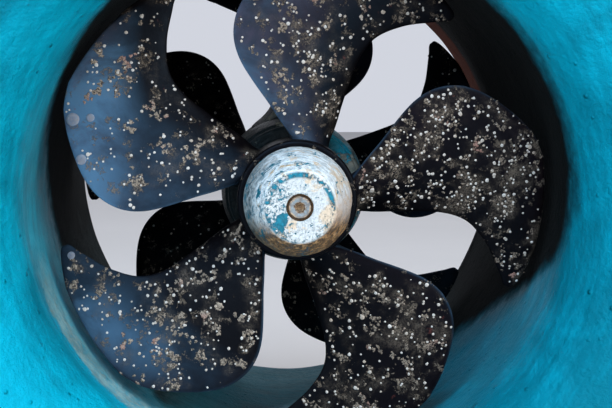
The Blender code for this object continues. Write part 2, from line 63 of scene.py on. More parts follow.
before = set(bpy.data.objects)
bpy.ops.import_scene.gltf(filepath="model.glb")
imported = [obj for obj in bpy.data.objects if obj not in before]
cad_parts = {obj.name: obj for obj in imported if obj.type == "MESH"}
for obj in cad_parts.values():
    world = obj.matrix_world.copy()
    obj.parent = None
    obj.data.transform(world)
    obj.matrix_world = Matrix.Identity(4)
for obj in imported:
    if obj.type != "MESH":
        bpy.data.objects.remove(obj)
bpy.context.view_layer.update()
TUBE_LOW, TUBE_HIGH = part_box("tunnel_tube")
AXIS = (TUBE_LOW + TUBE_HIGH) / 2


def reach(node):
    """Outer radius of a front piece, and how far outboard it starts and ends."""
    low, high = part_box(node)
    return high.x, AXIS.y - high.y, AXIS.y - low.y


TUBE_RADIUS, _, TUBE_END = reach("tunnel_tube")
RIM_RADIUS, FLARE_START, MOUTH_FACE = reach("front_bell_mouth")
_, HUB_BACK, HUB_FACE = reach("front_propeller")
NOSE_RADIUS, NOSE_BASE, NOSE_FACE = reach("front_anode")
HEAD_RADIUS, SCREW_TIP, HEAD_TOP = reach("front_anode_screw")
CAP_RADIUS, CAP_BACK, CAP_FACE = reach("front_bearing_cap")
SEAL_RADIUS, SEAL_BACK, SEAL_FACE = reach("front_shaft_seal")
SPACER_RADIUS, SPACER_BACK, SPACER_FACE = reach("front_shaft_spacer")
NECK_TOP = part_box("gear_leg")[1].z - AXIS.z
ENDS = (("front", False), ("rear", True))
BLADES = 5


def value_of(kind, **fixed):
    """Maker of one kind of value that the add-on's panel shows."""
    return lambda label, default, description: kind(
        name=label, description=description, default=default, **fixed
    )


size = value_of(bpy.props.FloatProperty, unit="LENGTH", precision=4)
tint = value_of(bpy.props.FloatVectorProperty, subtype="COLOR", size=3, min=0.0, max=1.0)
amount = value_of(bpy.props.FloatProperty, min=0.0)
count_of = value_of(bpy.props.IntProperty, min=0)
turn = value_of(bpy.props.FloatProperty, subtype="ANGLE")
lens = value_of(bpy.props.FloatProperty, unit="CAMERA")


class TunnelSizes(bpy.types.PropertyGroup):
    """Sizes of the tube and its two flared mouths."""

    wall: size("Wall", 0.006, "Thickness of the tube's and the flares' plate")
    flare: size("Flare", 0.048, "Radius of the quarter circle that each mouth turns through")
    flange: size("Flange", 0.022, "Width of the flat flange round each mouth")
    rim_round: size("Rim round", 0.0016, "Rounding of the flange's outer edges")
    weld_width: size("Weld width", 0.008, "Width of the weld beads on the tube's outside")
    weld_height: size("Weld height", 0.0024, "How far the weld beads stand proud")
    unevenness: size("Unevenness", 0.00035, "Swells of the plate and its thick paint")


class BladeSizes(bpy.types.PropertyGroup):
    """Sizes of the propellers."""

    pitch: size("Pitch", 0.151, "Advance of the blades' helix in one turn")
    tip_radius: size("Tip radius", 0.120, "Radius that the blades reach to")
    mid_outboard: size("Middle plane", 0.0733, "How far outboard the blades' own plane lies")
    hub_radius: size("Hub radius", 0.028, "Radius of the hub")
    hub_round: size("Hub round", 0.002, "Rounding of the hub's edges")
    root_depth: size("Root depth", 0.004, "How far inside the hub the blades start")
    root_thickness: size("Root thickness", 0.0075, "Thickness in the middle of a blade at its root")
    tip_thickness: size("Tip thickness", 0.003, "Thickness in the middle of a blade at its tip")
    edge_thickness: size("Edge thickness", 0.0016, "Thickness beside the rounded edges")
    fillet: size("Root fillet", 0.002, "Extra thickness on each side where a blade meets the hub")
    rear_phase: turn("Rear phase", math.radians(16.9), "Turn of the rear propeller against the front one")


class NoseSizes(bpy.types.PropertyGroup):
    """Sizes of the zinc noses and their screws."""

    skirt: size("Skirt", 0.004, "Straight part at the nose's base")
    face_radius: size("Face radius", 0.0156, "Radius of the flat face")
    recess_radius: size("Recess radius", 0.0060, "Radius of the recess in the face")
    recess_depth: size("Recess depth", 0.0068, "Depth of the recess")
    bore: size("Bore", 0.0033, "Radius of the hole for the screw")
    head_height: size("Head height", 0.006, "Height of the screw's head")
    socket: size("Socket", 0.004, "Size across the flats of the screw's socket")
    socket_depth: size("Socket depth", 0.003, "Depth of the screw's socket")
    cup_drop: size("Cup drop", 0.0003, "How far the cup washer lies under the face")


class LegSizes(bpy.types.PropertyGroup):
    """Sizes of the gear leg."""

    shaft_bore: size("Shaft bore", 0.0093, "Radius of the bore along the pod and the hubs")
    pod_radius: size("Pod radius", 0.037, "Largest radius of the pod")
    pod_end_radius: size("Pod end radius", 0.0345, "Radius of the pod's ends")
    pod_length: size("Pod length", 0.084, "Length of the pod")
    pod_taper: size("Pod taper", 0.012, "Length of the taper at each end of the pod")
    chord: size("Strut chord", 0.058, "Length of the strut's section")
    thickness: size("Strut thickness", 0.020, "Thickness of the strut's section")
    flow: size("Strut fillet", 0.005, "How far the strut flares where it meets the pod and the saddle")
    saddle_width: size("Saddle width", 0.060, "Width of the saddle under the tunnel's top")
    saddle_length: size("Saddle length", 0.108, "Length of the saddle")
    saddle_radius: size("Saddle radius", 0.1221, "Radius of the saddle's top")
    saddle_thickness: size("Saddle thickness", 0.012, "Thickness in the middle of the saddle")
    neck_radius: size("Neck radius", 0.019, "Radius of the neck through the tunnel's top")
    drive_bore: size("Drive bore", 0.0063, "Radius of the bore for the upright shaft")


class Growth(bpy.types.PropertyGroup):
    """Marine growth on the propellers."""

    seed: count_of("Seed", 11, "Picks one scatter of the growth")
    barnacles: count_of("Barnacles", 1100, "Barnacles on the outboard faces of one propeller")
    inboard_barnacles: count_of("Inboard barnacles", 240, "Barnacles on the inboard faces")
    barnacle_radius: size("Barnacle radius", 0.0006, "Radius of a usual barnacle")
    crusts: count_of("Crusts", 290, "Clumps of crust on the outboard faces of one propeller")
    inboard_crusts: count_of("Inboard crusts", 60, "Clumps of crust on the inboard faces")
    crust_radius: size("Crust radius", 0.00125, "Radius of a usual flake of crust")
    clump: size("Clump", 0.0021, "How far the flakes of a clump stray from its middle")
    flakes: count_of("Flakes", 5, "Flakes in one clump of crust")


class Colours(bpy.types.PropertyGroup):
    """Base colours of the finishes."""

    turquoise: tint("Turquoise", (0.0, 0.32, 0.455), "Fresh tunnel paint")
    # Deep turquoise also stands for painted shade, where the painted light on the flare is low.
    turquoise_deep: tint("Deep turquoise", (0.0, 0.145, 0.21), "Tunnel paint where it is thin or dull")
    scuffed: tint("Scuffed paint", (0.26, 0.42, 0.43), "Paint scuffed through to its primer")
    # This dark also stands for painted shade inside the tube, over its dark coating.
    tunnel_dark: tint("Tunnel dark", (0.0036, 0.0031, 0.0027), "Old dark coating inside the tunnel")
    rust: tint("Rust", (0.17, 0.032, 0.010), "Rust on bare steel")
    blade: tint("Blade", (0.0023, 0.0018, 0.0022), "Fibre-filled plastic of the propellers")
    # Painted reflection: the bluish sheen of the sky on the blades is painted into their colour.
    bloom: tint("Bloom", (0.052, 0.116, 0.190), "Bluish bloom on the blades")
    # Painted reflection: the violet sheen on the blades is painted into their colour.
    violet: tint("Violet", (0.038, 0.022, 0.032), "Purple-brown cast of the blades")
    shell: tint("Shell", (0.51, 0.49, 0.46), "Barnacle shells")
    crust: tint("Crust", (0.215, 0.176, 0.138), "Dried crusts")
    zinc: tint("Zinc", (0.66, 0.71, 0.73), "Worn zinc of the noses")
    ochre: tint("Ochre", (0.62, 0.42, 0.22), "Ochre stains on the zinc")
    brass: tint("Brass", (0.060, 0.034, 0.017), "Cup washers in the noses")
    steel: tint("Steel", (0.26, 0.26, 0.26), "Stainless steel")
    rubber: tint("Rubber", (0.018, 0.018, 0.02), "Seals and gaskets")
    casting: tint("Casting", (0.34, 0.35, 0.36), "Cast aluminium of the bracket")


class Studio(bpy.types.PropertyGroup):
    """Floor, lights and camera."""

    floor_half: size("Floor", 6.0, "Half the floor's side")
    front_sky: amount("Front sky", 0.25, "Strength of the sky in front of the thruster")
    back_sky: amount("Back sky", 0.80, "Strength of the sky behind the thruster")
    key_power: amount("Key power", 50.0, "Power of the large light at the upper right")
    fill_power: amount("Fill power", 16.0, "Power of the light at the left")
    cool_power: amount("Cool power", 60.0, "Power of the bluish light above in front")
    back_power: amount("Back power", 10.0, "Power of the light on the floor behind")
    focal_length: lens("Lens", 73.9, "Focal length of the camera")
    camera_ahead: size("Ahead", 0.5297, "How far the camera stands in front of the hull's side")
    camera_left: size("Left", 0.0195, "How far the camera stands left of the shaft's line")
    camera_up: size("Up", 0.0538, "How far the camera stands over the shaft's line")
    yaw: turn("Yaw", math.radians(2.32), "Turn of the camera to the right")
    tilt: turn("Tilt", math.radians(5.46), "Tilt of the camera downwards")


GROUPS = {
    "tunnel": TunnelSizes,
    "blades": BladeSizes,
    "nose": NoseSizes,
    "leg": LegSizes,
    "growth": Growth,
    "colours": Colours,
    "studio": Studio,
}


def chosen(group):
    """The scene's values of one group."""
    return getattr(bpy.context.scene, f"thruster_{group}")


# Materials: a noise's scale is in repeats a metre, and its values lie round 0.5


def wire(tree, kind, inputs=(), output=0, **settings):
    """Output of a new node, once it is set and its inputs are filled by number or by name."""
    made = tree.nodes.new(kind)
    for name, value in settings.items():
        setattr(made, name, value)
    for name, value in inputs.items() if isinstance(inputs, dict) else enumerate(inputs):
        plug(tree, made.inputs[name], value)
    return Field(tree, made.outputs[output])


def plug(tree, socket, value):
    """Sets a socket to a number or colour, or links a field to it."""
    if isinstance(value, Field):
        tree.links.new(value.socket, socket)
    elif isinstance(value, (int, float)):
        socket.default_value = value
    else:
        value = tuple(value)
        socket.default_value = value if len(value) == len(socket.default_value) else (*value, 1.0)


def blend(tree, share, first, second):
    """Blend from the first colour to the second."""
    return wire(tree, "ShaderNodeMix", {0: share, 6: first, 7: second}, 2, data_type="RGBA")


class Field:
    """A node's output at each point of a surface. Sums and products can be made of numbers."""

    def __init__(self, tree, socket):
        self.tree = tree
        self.socket = socket

    def maths(self, operation, *others):
        return wire(self.tree, "ShaderNodeMath", (self, *others), operation=operation)

    def __add__(self, other):
        return self.maths("ADD", other)

    def __sub__(self, other):
        return self.maths("SUBTRACT", other)

    def __mul__(self, other):
        return self.maths("MULTIPLY", other)

    def rest(self):
        """What is missing to 1."""
        return wire(self.tree, "ShaderNodeMath", (1.0, self), operation="SUBTRACT")

    def size(self):
        return self.maths("ABSOLUTE")

    def or_more(self, other):
        return self.maths("MAXIMUM", other)

    def ramp(self, low, high, at_low=0.0, at_high=1.0):
        """Smooth step from at_low, where the field is low, to at_high."""
        limits = (self, low, high, at_low, at_high)
        return wire(self.tree, "ShaderNodeMapRange", limits, interpolation_type="SMOOTHSTEP")

    def fall(self, low, high):
        """Smooth step from 1, where the field is low, to 0."""
        return self.ramp(low, high, 1.0, 0.0)

    def between(self, none, full):
        """Smooth step from one value, where a share is 0, to the other, where it is 1."""
        return self.ramp(0.0, 1.0, none, full)

    def spread(self, least, most):
        """A noise's usual range spread over another."""
        return self.ramp(0.3, 0.7, least, most)


class Recipe:
    """One Principled material in the making, with its place from the middle of the shaft's line."""

    def __init__(self, name):
        material = bpy.data.materials.new(name)
        material.use_nodes = True
        self.tree = material.node_tree
        self.normal = None
        texture = self.node("ShaderNodeTexCoord", output="Object")
        self.place = self.node("ShaderNodeVectorMath", (texture, -AXIS), operation="ADD")
        split = self.node("ShaderNodeSeparateXYZ", (self.place,)).socket.node
        self.x, self.y, self.z = (Field(self.tree, output) for output in split.outputs)
        self.radius = (self.x * self.x + self.z * self.z).maths("SQRT")
        self.angle = self.z.maths("ARCTAN2", self.x)

    def node(self, kind, inputs=(), output=0, **settings):
        return wire(self.tree, kind, inputs, output, **settings)

    def shade(self, **values):
        """Sets the shader's sockets, whose names are written with _ for a space."""
        for name, value in values.items():
            plug(self.tree, self.tree.nodes["Principled BSDF"].inputs[name.replace("_", " ")], value)

    def noise(self, scale, detail=4.0, rough=0.55, warp=0.0, at=None):
        inputs = {"Scale": scale, "Detail": detail, "Roughness": rough, "Distortion": warp}
        return self.node("ShaderNodeTexNoise", {"Vector": at or self.place, **inputs})

    def dots(self, scale):
        """Distance to the nearest of many scattered points."""
        return self.node("ShaderNodeTexVoronoi", {"Vector": self.place, "Scale": scale}, "Distance")

    def stretched(self, x, y, z):
        """The place multiplied by three numbers, to draw a pattern out."""
        return self.node("ShaderNodeVectorMath", (self.place, (x, y, z)), operation="MULTIPLY")

    def round_and_along(self, round_share):
        """Place as (share of the angle, distance along, radius), for lines that run round the shaft."""
        return self.node("ShaderNodeCombineXYZ", (self.angle * round_share, self.y, self.radius))

    def lace(self, scale):
        """Crooked branching lines: 1 where a rough noise is near its middle value."""
        return (self.noise(scale, 5.0, 0.72) - 0.5).size().fall(0.010, 0.055)

    def stored(self, name):
        """A value kept on the mesh's points."""
        return self.node("ShaderNodeAttribute", output="Fac", attribute_name=name)

    def mix(self, share, first, second):
        return blend(self.tree, share, first, second)

    def layers(self, base, *coats):
        """The base colour with coats of (share, colour) laid over it in turn."""
        for share, colour in coats:
            base = self.mix(share, base, colour)
        return base

    def bump(self, height, distance):
        """Adds relief of that depth on top of what is there."""
        under = {"Normal": self.normal} if self.normal else {}
        self.normal = self.node("ShaderNodeBump", {"Distance": distance, "Height": height, **under})
        self.shade(Normal=self.normal)


def dimmed(colour, share):
    """A colour multiplied by a share, and never brighter than white."""
    return tuple(min(1.0, value * share) for value in colour)


def turquoise(recipe, tones):
    """Paint colour: strokes round the tunnel and patches, with painted light that makes it lighter at the
    lower left and the upper right.
    """
    strokes = recipe.noise(190.0, 5.0, 0.62, at=recipe.round_and_along(0.02))
    patches = recipe.noise(15.0, 4.0, 0.6, 0.6)
    # Painted light: lighter at the lower left and the upper right, and a little lighter on the left too.
    painted_light_diagonal = recipe.x * recipe.z * 12.0 - recipe.x * 0.4
    hull_side = recipe.radius.ramp(0.145, 0.175, 0.0, 0.22)
    share = (strokes * 0.45 + patches * 0.75 + painted_light_diagonal - hull_side).ramp(0.42, 0.82)
    return recipe.mix(share, tones.turquoise_deep, tones.turquoise)


def thick_paint(recipe):
    """Relief of thick paint: swells, rolled orange peel and drops."""
    recipe.bump(recipe.noise(60.0, 3.0), 0.0018)
    recipe.bump(recipe.noise(330.0, 5.0, 0.68), 0.0014)
    recipe.bump(recipe.dots(110.0).fall(0.02, 0.15), 0.0012)


def dark_coating(recipe, ragged, depth):
    """Share of dark coating and painted shade inside the tube: from the front corner inwards above, ever
    deeper towards the lower left.
    """
    x, z = recipe.x, recipe.z
    low_left = z * -0.8 - x * 0.35
    low_right = x * 0.55 - z * 0.85
    # Painted shadow of the lower-left blade on the tube's floor, where the dark starts sooner.
    shaded = x.ramp(-0.085, -0.065) * x.fall(-0.050, -0.035) * (z * -10.0 - 0.8).ramp(0.0, 0.2)
    left_start = low_left.ramp(-0.060, 0.080, 0.0, 0.085)
    right_start = low_right.ramp(0.085, 0.125, 0.0, 0.060)
    starts = left_start + right_start - shaded * 0.040
    # Less of the dark at the very bottom, where the tube's floor is painted as lit.
    low = z.ramp(-0.121, -0.100, 0.55, 1.0)
    soft, full = x.ramp(-0.05, 0.10, -0.011, -0.026), x.ramp(-0.05, 0.10, 0.011, 0.003)
    return (depth - starts + ragged * 0.030).ramp(soft, full) * low


def scuffed_paint(recipe, ragged, depth):
    """Share of pale paint: a band scuffed behind the front corner to the lower left, and the floor at the
    tube's far end, worn and painted as lit.
    """
    fine = recipe.noise(330.0, 5.0, 0.7)
    left = (recipe.x * -0.8 - recipe.z * 0.75 + ragged * 0.05).ramp(0.112, 0.132)
    inwards = depth + ragged * 0.03
    band = inwards.ramp(0.004, 0.009) * inwards.ramp(0.022, 0.045, 1.0, 0.1) * left
    # Paler floor at the far end: wear, with painted light from the open rear mouth.
    worn_and_lit_far_end = recipe.z.ramp(-0.110, -0.060, 0.25, 0.0) * depth.ramp(0.12, 0.20)
    return (band * fine.ramp(0.34, 0.56, 0.25, 0.95)).or_more(worn_and_lit_far_end * fine.ramp(0.35, 0.6, 0.4, 0.9))


def rusty_paint(recipe, ragged, water_side):
    """Share of rust: inside the rear corner, high on the right, and a few specks anywhere."""
    past = recipe.y - TUBE_END
    corner = (past + ragged * 0.02).ramp(-0.034, -0.022) * past.fall(0.002, 0.006)
    high_right = (recipe.x * 0.75 + recipe.z * 0.65).ramp(0.07, 0.11)
    specks = recipe.noise(240.0, 5.0, 0.75).ramp(0.70, 0.76) * 0.6
    return (corner * high_right * water_side * 0.7).or_more(specks)


def tunnel_coat(recipe, tones):
    """Turquoise paint; inside the tube a dark coating and painted shade above, and a scuffed band to the
    lower left.
    """
    bore = TUBE_RADIUS - chosen("tunnel").wall
    ragged = recipe.noise(60.0, 7.0, 0.72) - 0.5
    depth = recipe.y + TUBE_END
    water_side = recipe.radius.fall(bore + 0.0016, bore + 0.0030)
    # Dark coating and painted shade inside the tube.
    dark = dark_coating(recipe, ragged, depth) * water_side
    scuffs_and_light = scuffed_paint(recipe, ragged, depth) * water_side
    pale = recipe.mix(ragged.ramp(-0.15, 0.15), tones.scuffed, dimmed(tones.scuffed, 0.55))
    rough = (scuffs_and_light * 0.8).or_more(dark * 0.85).or_more((ragged + 0.5) * 0.5)
    base = recipe.layers(
        turquoise(recipe, tones),
        (dark, tones.tunnel_dark),
        (scuffs_and_light, pale),
        (rusty_paint(recipe, ragged, water_side), tones.rust),
    )
    recipe.shade(
        Base_Color=base,
        Roughness=rough.ramp(0.0, 0.9, 0.30, 0.92),
        Specular_IOR_Level=0.10,
        Specular_Tint=(0.45, 0.85, 1.0),
    )
    thick_paint(recipe)


def leg_coat(recipe, tones):
    """Turquoise paint gone from edges and ridges down to grey-beige primer and bronze, and painted shade near
    black on the left.
    """
    worn = (recipe.noise(50.0, 7.0, 0.72, 0.3) + recipe.x * 2.0).ramp(0.54, 0.59)
    bare = recipe.mix(recipe.noise(140.0, 5.0).ramp(0.35, 0.65), (0.30, 0.28, 0.22), (0.10, 0.12, 0.11))
    # Painted shade: the leg is made near black towards its left side.
    dark_paint_and_shade = (recipe.noise(22.0, 3.0) - recipe.x * 12.0).ramp(0.25, 0.50)
    base = recipe.layers(turquoise(recipe, tones), (dark_paint_and_shade, (0.003, 0.008, 0.010)), (worn, bare))
    recipe.shade(Base_Color=base, Roughness=worn.between(0.4, 0.7), Specular_IOR_Level=0.25)
    recipe.bump(worn.rest(), 0.0004)
    thick_paint(recipe)


def blade_skin(recipe, tones):
    """Dark moulded plastic: painted bluish and violet sheen where it is clean, lacy beige growth where it is
    not.
    """
    growth = recipe.stored("growth")
    # Painted reflection: violet and bluish sheen laid into the blades' colour, in patches.
    violet = recipe.stored("violet") * recipe.noise(34.0, 6.0, 0.65, 0.4).ramp(0.35, 0.62, 0.25, 1.0)
    bloom = recipe.stored("bloom") * recipe.noise(30.0, 6.0, 0.65, 0.4).ramp(0.36, 0.62, 0.30, 1.0)
    speckle = recipe.noise(1300.0, 3.0, 0.7)
    veil = growth.ramp(0.1, 0.8) * recipe.noise(90.0, 5.0, 0.7).ramp(0.40, 0.60)
    haze = veil * (recipe.lace(800.0) * 0.5 + speckle.ramp(0.40, 0.60, 0.0, 0.5))
    ragged = recipe.noise(480.0, 4.0, 0.62) * 1.7
    patches = (ragged - recipe.dots(125.0) + growth * 0.36).ramp(0.64, 0.80)
    film = patches * (recipe.lace(420.0) * 0.8 + speckle.ramp(0.5, 0.7, 0.0, 0.5))
    rosy = recipe.noise(85.0, 4.0, 0.7).ramp(0.68, 0.72) * speckle.ramp(0.35, 0.6, 0.0, 0.6)
    base = recipe.layers(
        tones.blade,
        (violet, tones.violet),
        (bloom, tones.bloom),
        (haze, dimmed(tones.crust, 0.45)),
        (film, tones.crust),
        (rosy, (0.10, 0.030, 0.026)),
    )
    recipe.shade(
        Base_Color=base,
        Roughness=recipe.noise(280.0).spread(0.30, 0.42) + film * 0.4,
        Specular_IOR_Level=0.065,
        Specular_Tint=(0.5, 0.72, 1.0),
    )
    recipe.bump(speckle, 0.0001)
    recipe.bump(film, 0.0004)


def barnacle_shell(recipe, tones):
    """Chalky white shells, each of its own shade, with a dark mouth."""
    mouth = recipe.stored("mouth") * 0.35
    shell = recipe.mix(recipe.stored("shade"), dimmed(tones.crust, 1.6), tones.shell)
    recipe.shade(Base_Color=recipe.mix(mouth, shell, (0.09, 0.07, 0.06)), Roughness=mouth.between(0.6, 0.9))
    recipe.bump(recipe.noise(2600.0, 2.0), 0.0001)


def dried_crust(recipe, tones):
    """Lacy beige-grey crusts on a dark ground, with a pink cast here and there."""
    speckle = recipe.noise(900.0, 4.0, 0.7)
    lines = recipe.lace(520.0).or_more(speckle.ramp(0.52, 0.62))
    pale = recipe.mix(recipe.stored("shade") * 0.6, dimmed(tones.crust, 1.5), dimmed(tones.crust, 0.7))
    pink = recipe.noise(60.0, 2.0).ramp(0.60, 0.72) * 0.45
    base = recipe.layers((0.012, 0.010, 0.010), (lines.between(0.10, 1.0), pale), (pink, (0.36, 0.17, 0.14)))
    recipe.shade(Base_Color=base, Roughness=speckle.spread(0.75, 0.95), Specular_IOR_Level=0.2)
    recipe.bump(speckle, 0.0004)


def limpet_shell(recipe, tones):
    """Thin bluish discs, paler at the rim, with faint rings."""
    rings = recipe.noise(700.0, 4.0, 0.7)
    rim, middle, stain = (0.17, 0.21, 0.27), (0.075, 0.10, 0.145), (0.20, 0.17, 0.17)
    base = recipe.layers(rim, (recipe.stored("mouth"), middle), (rings.ramp(0.35, 0.6) * 0.6, stain))
    recipe.shade(Base_Color=base, Roughness=rings.spread(0.35, 0.6), Subsurface_Weight=0.15)
    recipe.bump(rings, 0.0001)


def worn_zinc(recipe, tones):
    """Zinc worn in rings: pale chalky face, turquoise flakes, ochre stains, brown scale low on the right."""
    x, z, radius, face = recipe.x, recipe.z, recipe.radius, chosen("nose").face_radius
    rings = recipe.noise(650.0, 6.0, 0.75, at=recipe.round_and_along(0.008))
    streaks = recipe.noise(300.0, 6.0, 0.75, at=recipe.round_and_along(0.010))
    chalk = recipe.noise(420.0, 6.0, 0.75)
    patches = recipe.noise(105.0, 5.0, 0.65, 0.5)
    on_face = radius.fall(face - 0.0002, face + 0.0009)
    on_cone = on_face.rest()
    low_right = x * 0.9 - z

    metal = recipe.mix(rings.ramp(0.36, 0.62), dimmed(tones.zinc, 0.65), dimmed(tones.zinc, 1.25))
    yellowed = (recipe.noise(95.0, 5.0, 0.7, 0.3) + x * 3.0).ramp(0.55, 0.64)
    rosy = x.ramp(0.0, 0.018) * z.ramp(-0.002, 0.012, 1.0, 0.1) * on_cone
    rosy_tone = recipe.mix(rings.ramp(0.4, 0.6), (0.66, 0.54, 0.48), (0.38, 0.26, 0.18))
    blued = low_right.fall(-0.020, 0.008) * on_cone * streaks.fall(0.42, 0.47) * 0.9
    scale = (x * 0.1 - z).ramp(0.001, 0.013) * on_cone * chalk.ramp(0.30, 0.45, 0.7, 1.0)
    scale_tone = recipe.mix(chalk.ramp(0.45, 0.62), (0.06, 0.032, 0.015), (0.44, 0.25, 0.11))
    left_rim = radius.ramp(0.0190, 0.0225) * x.fall(-0.021, -0.008) * chalk.ramp(0.35, 0.55, 1.0, 0.5)

    # Paint left on the zinc: flakes anywhere, and on the face arcs along its edge, specks and one large flake
    flakes = (recipe.noise(150.0, 6.0, 0.75, 0.7) + low_right.ramp(-0.02, 0.02, 0.030, 0.0)).ramp(0.60, 0.615)
    edge = (radius - face + 0.0012).size().fall(0.0006, 0.0018)
    arcs = edge * (chalk + recipe.noise(110.0, 2.0) * 0.7 - x * 2.0 + z * 3.0).ramp(0.83, 0.90)
    specks = recipe.noise(760.0, 5.0, 0.8).ramp(0.52, 0.57) * (patches + x * 9.0).ramp(0.42, 0.56, 1.0, 0.22)
    ragged = (chalk + recipe.noise(190.0, 3.0) - 1.0) * 0.016
    large = (x * 1.3 + 0.0100).size() + (z - x * 0.4 + 0.0038).size() + ragged
    painted = flakes.or_more(specks.or_more(large.fall(0.0042, 0.0048)).or_more(arcs) * on_face)
    paint_tone = recipe.mix(chalk.ramp(0.4, 0.6), (0.0, 0.10, 0.15), (0.0, 0.17, 0.25))

    base = recipe.layers(
        metal,
        (on_face * chalk.ramp(0.3, 0.55, 0.5, 0.9), (0.50, 0.53, 0.53)),
        (yellowed * 0.6, tones.ochre),
        (rosy * 0.65, rosy_tone),
        (streaks.ramp(0.55, 0.62) * on_cone * 0.8, (0.50, 0.32, 0.13)),
        (blued * z.ramp(0.004, 0.014, 1.0, 0.5), (0.01, 0.15, 0.21)),
        (scale, scale_tone),
        (left_rim, (0.03, 0.055, 0.060)),
        (painted, paint_tone),
        (recipe.dots(330.0).ramp(0.0, 0.12, 0.7, 0.0), (0.09, 0.07, 0.055)),
    )
    bare = painted.or_more(scale).or_more(on_face * 0.6).rest()
    roughness = chalk.spread(0.36, 0.66)
    recipe.shade(Base_Color=base, Metallic=bare * 0.3, Roughness=roughness, Specular_IOR_Level=0.3)
    recipe.bump(rings, 0.0004)
    recipe.bump(chalk, 0.0004)
    recipe.bump(painted, 0.0003)


def turned_metal(recipe, base, stain, roughness):
    """Metal with fine lines round the shaft and small stains."""
    lines = recipe.noise(2600.0, 3.0, at=recipe.round_and_along(0.001))
    stains = recipe.noise(260.0, 5.0, 0.7).ramp(0.50, 0.68)
    recipe.shade(
        Base_Color=recipe.mix(stains * 0.75, base, stain),
        Metallic=stains.between(0.95, 0.4),
        Roughness=lines.spread(roughness - 0.07, roughness + 0.07) + stains * 0.25,
    )
    recipe.bump(lines, 0.00008)


def stainless(recipe, tones):
    """Turned stainless steel with brown stains."""
    turned_metal(recipe, tones.steel, (0.16, 0.09, 0.05), 0.34)


def cup_brass(recipe, tones):
    """Turned brass gone dark."""
    turned_metal(recipe, tones.brass, (0.05, 0.03, 0.02), 0.42)


def nose_screw_steel(recipe, tones):
    """Blue-grey stainless steel, stained brown in its socket and round its head."""
    mottle = recipe.noise(520.0, 5.0, 0.7)
    near = recipe.radius + (mottle - 0.5) * 0.004
    round_head = near.ramp(HEAD_RADIUS - 0.0012, HEAD_RADIUS - 0.0002, 0.0, 0.8)
    stained = near.fall(0.0020, 0.0030).or_more(round_head)
    steel = recipe.mix(mottle.ramp(0.40, 0.62), dimmed(tones.steel, 0.8), (0.24, 0.31, 0.35))
    stain = recipe.mix(mottle.ramp(0.4, 0.6), tones.brass, (0.42, 0.27, 0.14))
    base = recipe.mix(stained, steel, stain)
    recipe.shade(Base_Color=base, Metallic=stained.between(0.85, 0.2), Roughness=mottle.spread(0.32, 0.55))
    recipe.bump(mottle, 0.0004)


def black_rubber(recipe, tones):
    """Rubber dulled by dust."""
    dust = recipe.noise(180.0, 5.0, 0.7).ramp(0.45, 0.75)
    base = recipe.mix(dust * 0.4, tones.rubber, (0.12, 0.12, 0.11))
    recipe.shade(Base_Color=base, Roughness=dust.between(0.6, 0.85))
    recipe.bump(recipe.noise(1400.0, 2.0), 0.0001)


def cast_aluminium(recipe, tones):
    """Sand-cast aluminium: grainy skin, grey oxide and brown runs."""
    oxide = recipe.noise(40.0, 6.0, 0.68).ramp(0.42, 0.62)
    runs = recipe.noise(60.0, 5.0, 0.6, at=recipe.stretched(1.0, 1.0, 0.25)).ramp(0.58, 0.70)
    base = recipe.layers(tones.casting, (oxide, dimmed(tones.casting, 0.6)), (runs * 0.5, (0.17, 0.11, 0.07)))
    recipe.shade(Base_Color=base, Metallic=oxide.between(0.75, 0.3), Roughness=oxide.between(0.42, 0.68))
    recipe.bump(recipe.noise(800.0, 4.0, 0.6), 0.0004)


def studio_floor(recipe, tones):
    """Plain pale matt floor with a faint mottle."""
    mottle, pale = recipe.noise(3.0, 3.0), (0.72, 0.67, 0.64)
    base = recipe.mix(mottle.spread(0.0, 1.0), pale, dimmed(pale, 0.97))
    recipe.shade(Base_Color=base, Roughness=mottle.between(0.85, 0.90))


def coat(obj, finish):
    """Gives an object one of the finishes, made when it is first wanted."""
    name = finish.__name__
    if name not in bpy.data.materials:
        finish(Recipe(name), chosen("colours"))
    obj.data.materials.clear()
    obj.data.materials.append(bpy.data.materials[name])


# Surfaces


def grid(rows, columns, close_rows=False, close_columns=False):
    """Four-sided faces of a grid of rows by columns of points, joined round where it closes."""
    index = np.arange(rows * columns).reshape(rows, columns)
    if close_rows:
        index = np.vstack([index, index[:1]])
    if close_columns:
        index = np.hstack([index, index[:, :1]])
    corners = (index[:-1, :-1], index[:-1, 1:], index[1:, 1:], index[1:, :-1])
    return np.stack([corner.ravel() for corner in corners], axis=1).tolist()


def surface(x, y, z, **closing):
    """Points of a grid from their x, y and z, and its faces."""
    points = np.stack(np.broadcast_arrays(x, y, z), axis=-1)
    return points, grid(*points.shape[:2], **closing)


def turns(steps):
    """Directions round an axis, one to each row of a grid."""
    return np.linspace(0.0, math.tau, steps, endpoint=False)[:, None]


def turned(r, outboard, a):
    """Closed surface round the shaft: x = r cos a, z = r sin a."""
    return surface(r * np.cos(a), -outboard, r * np.sin(a), close_rows=True, close_columns=True)


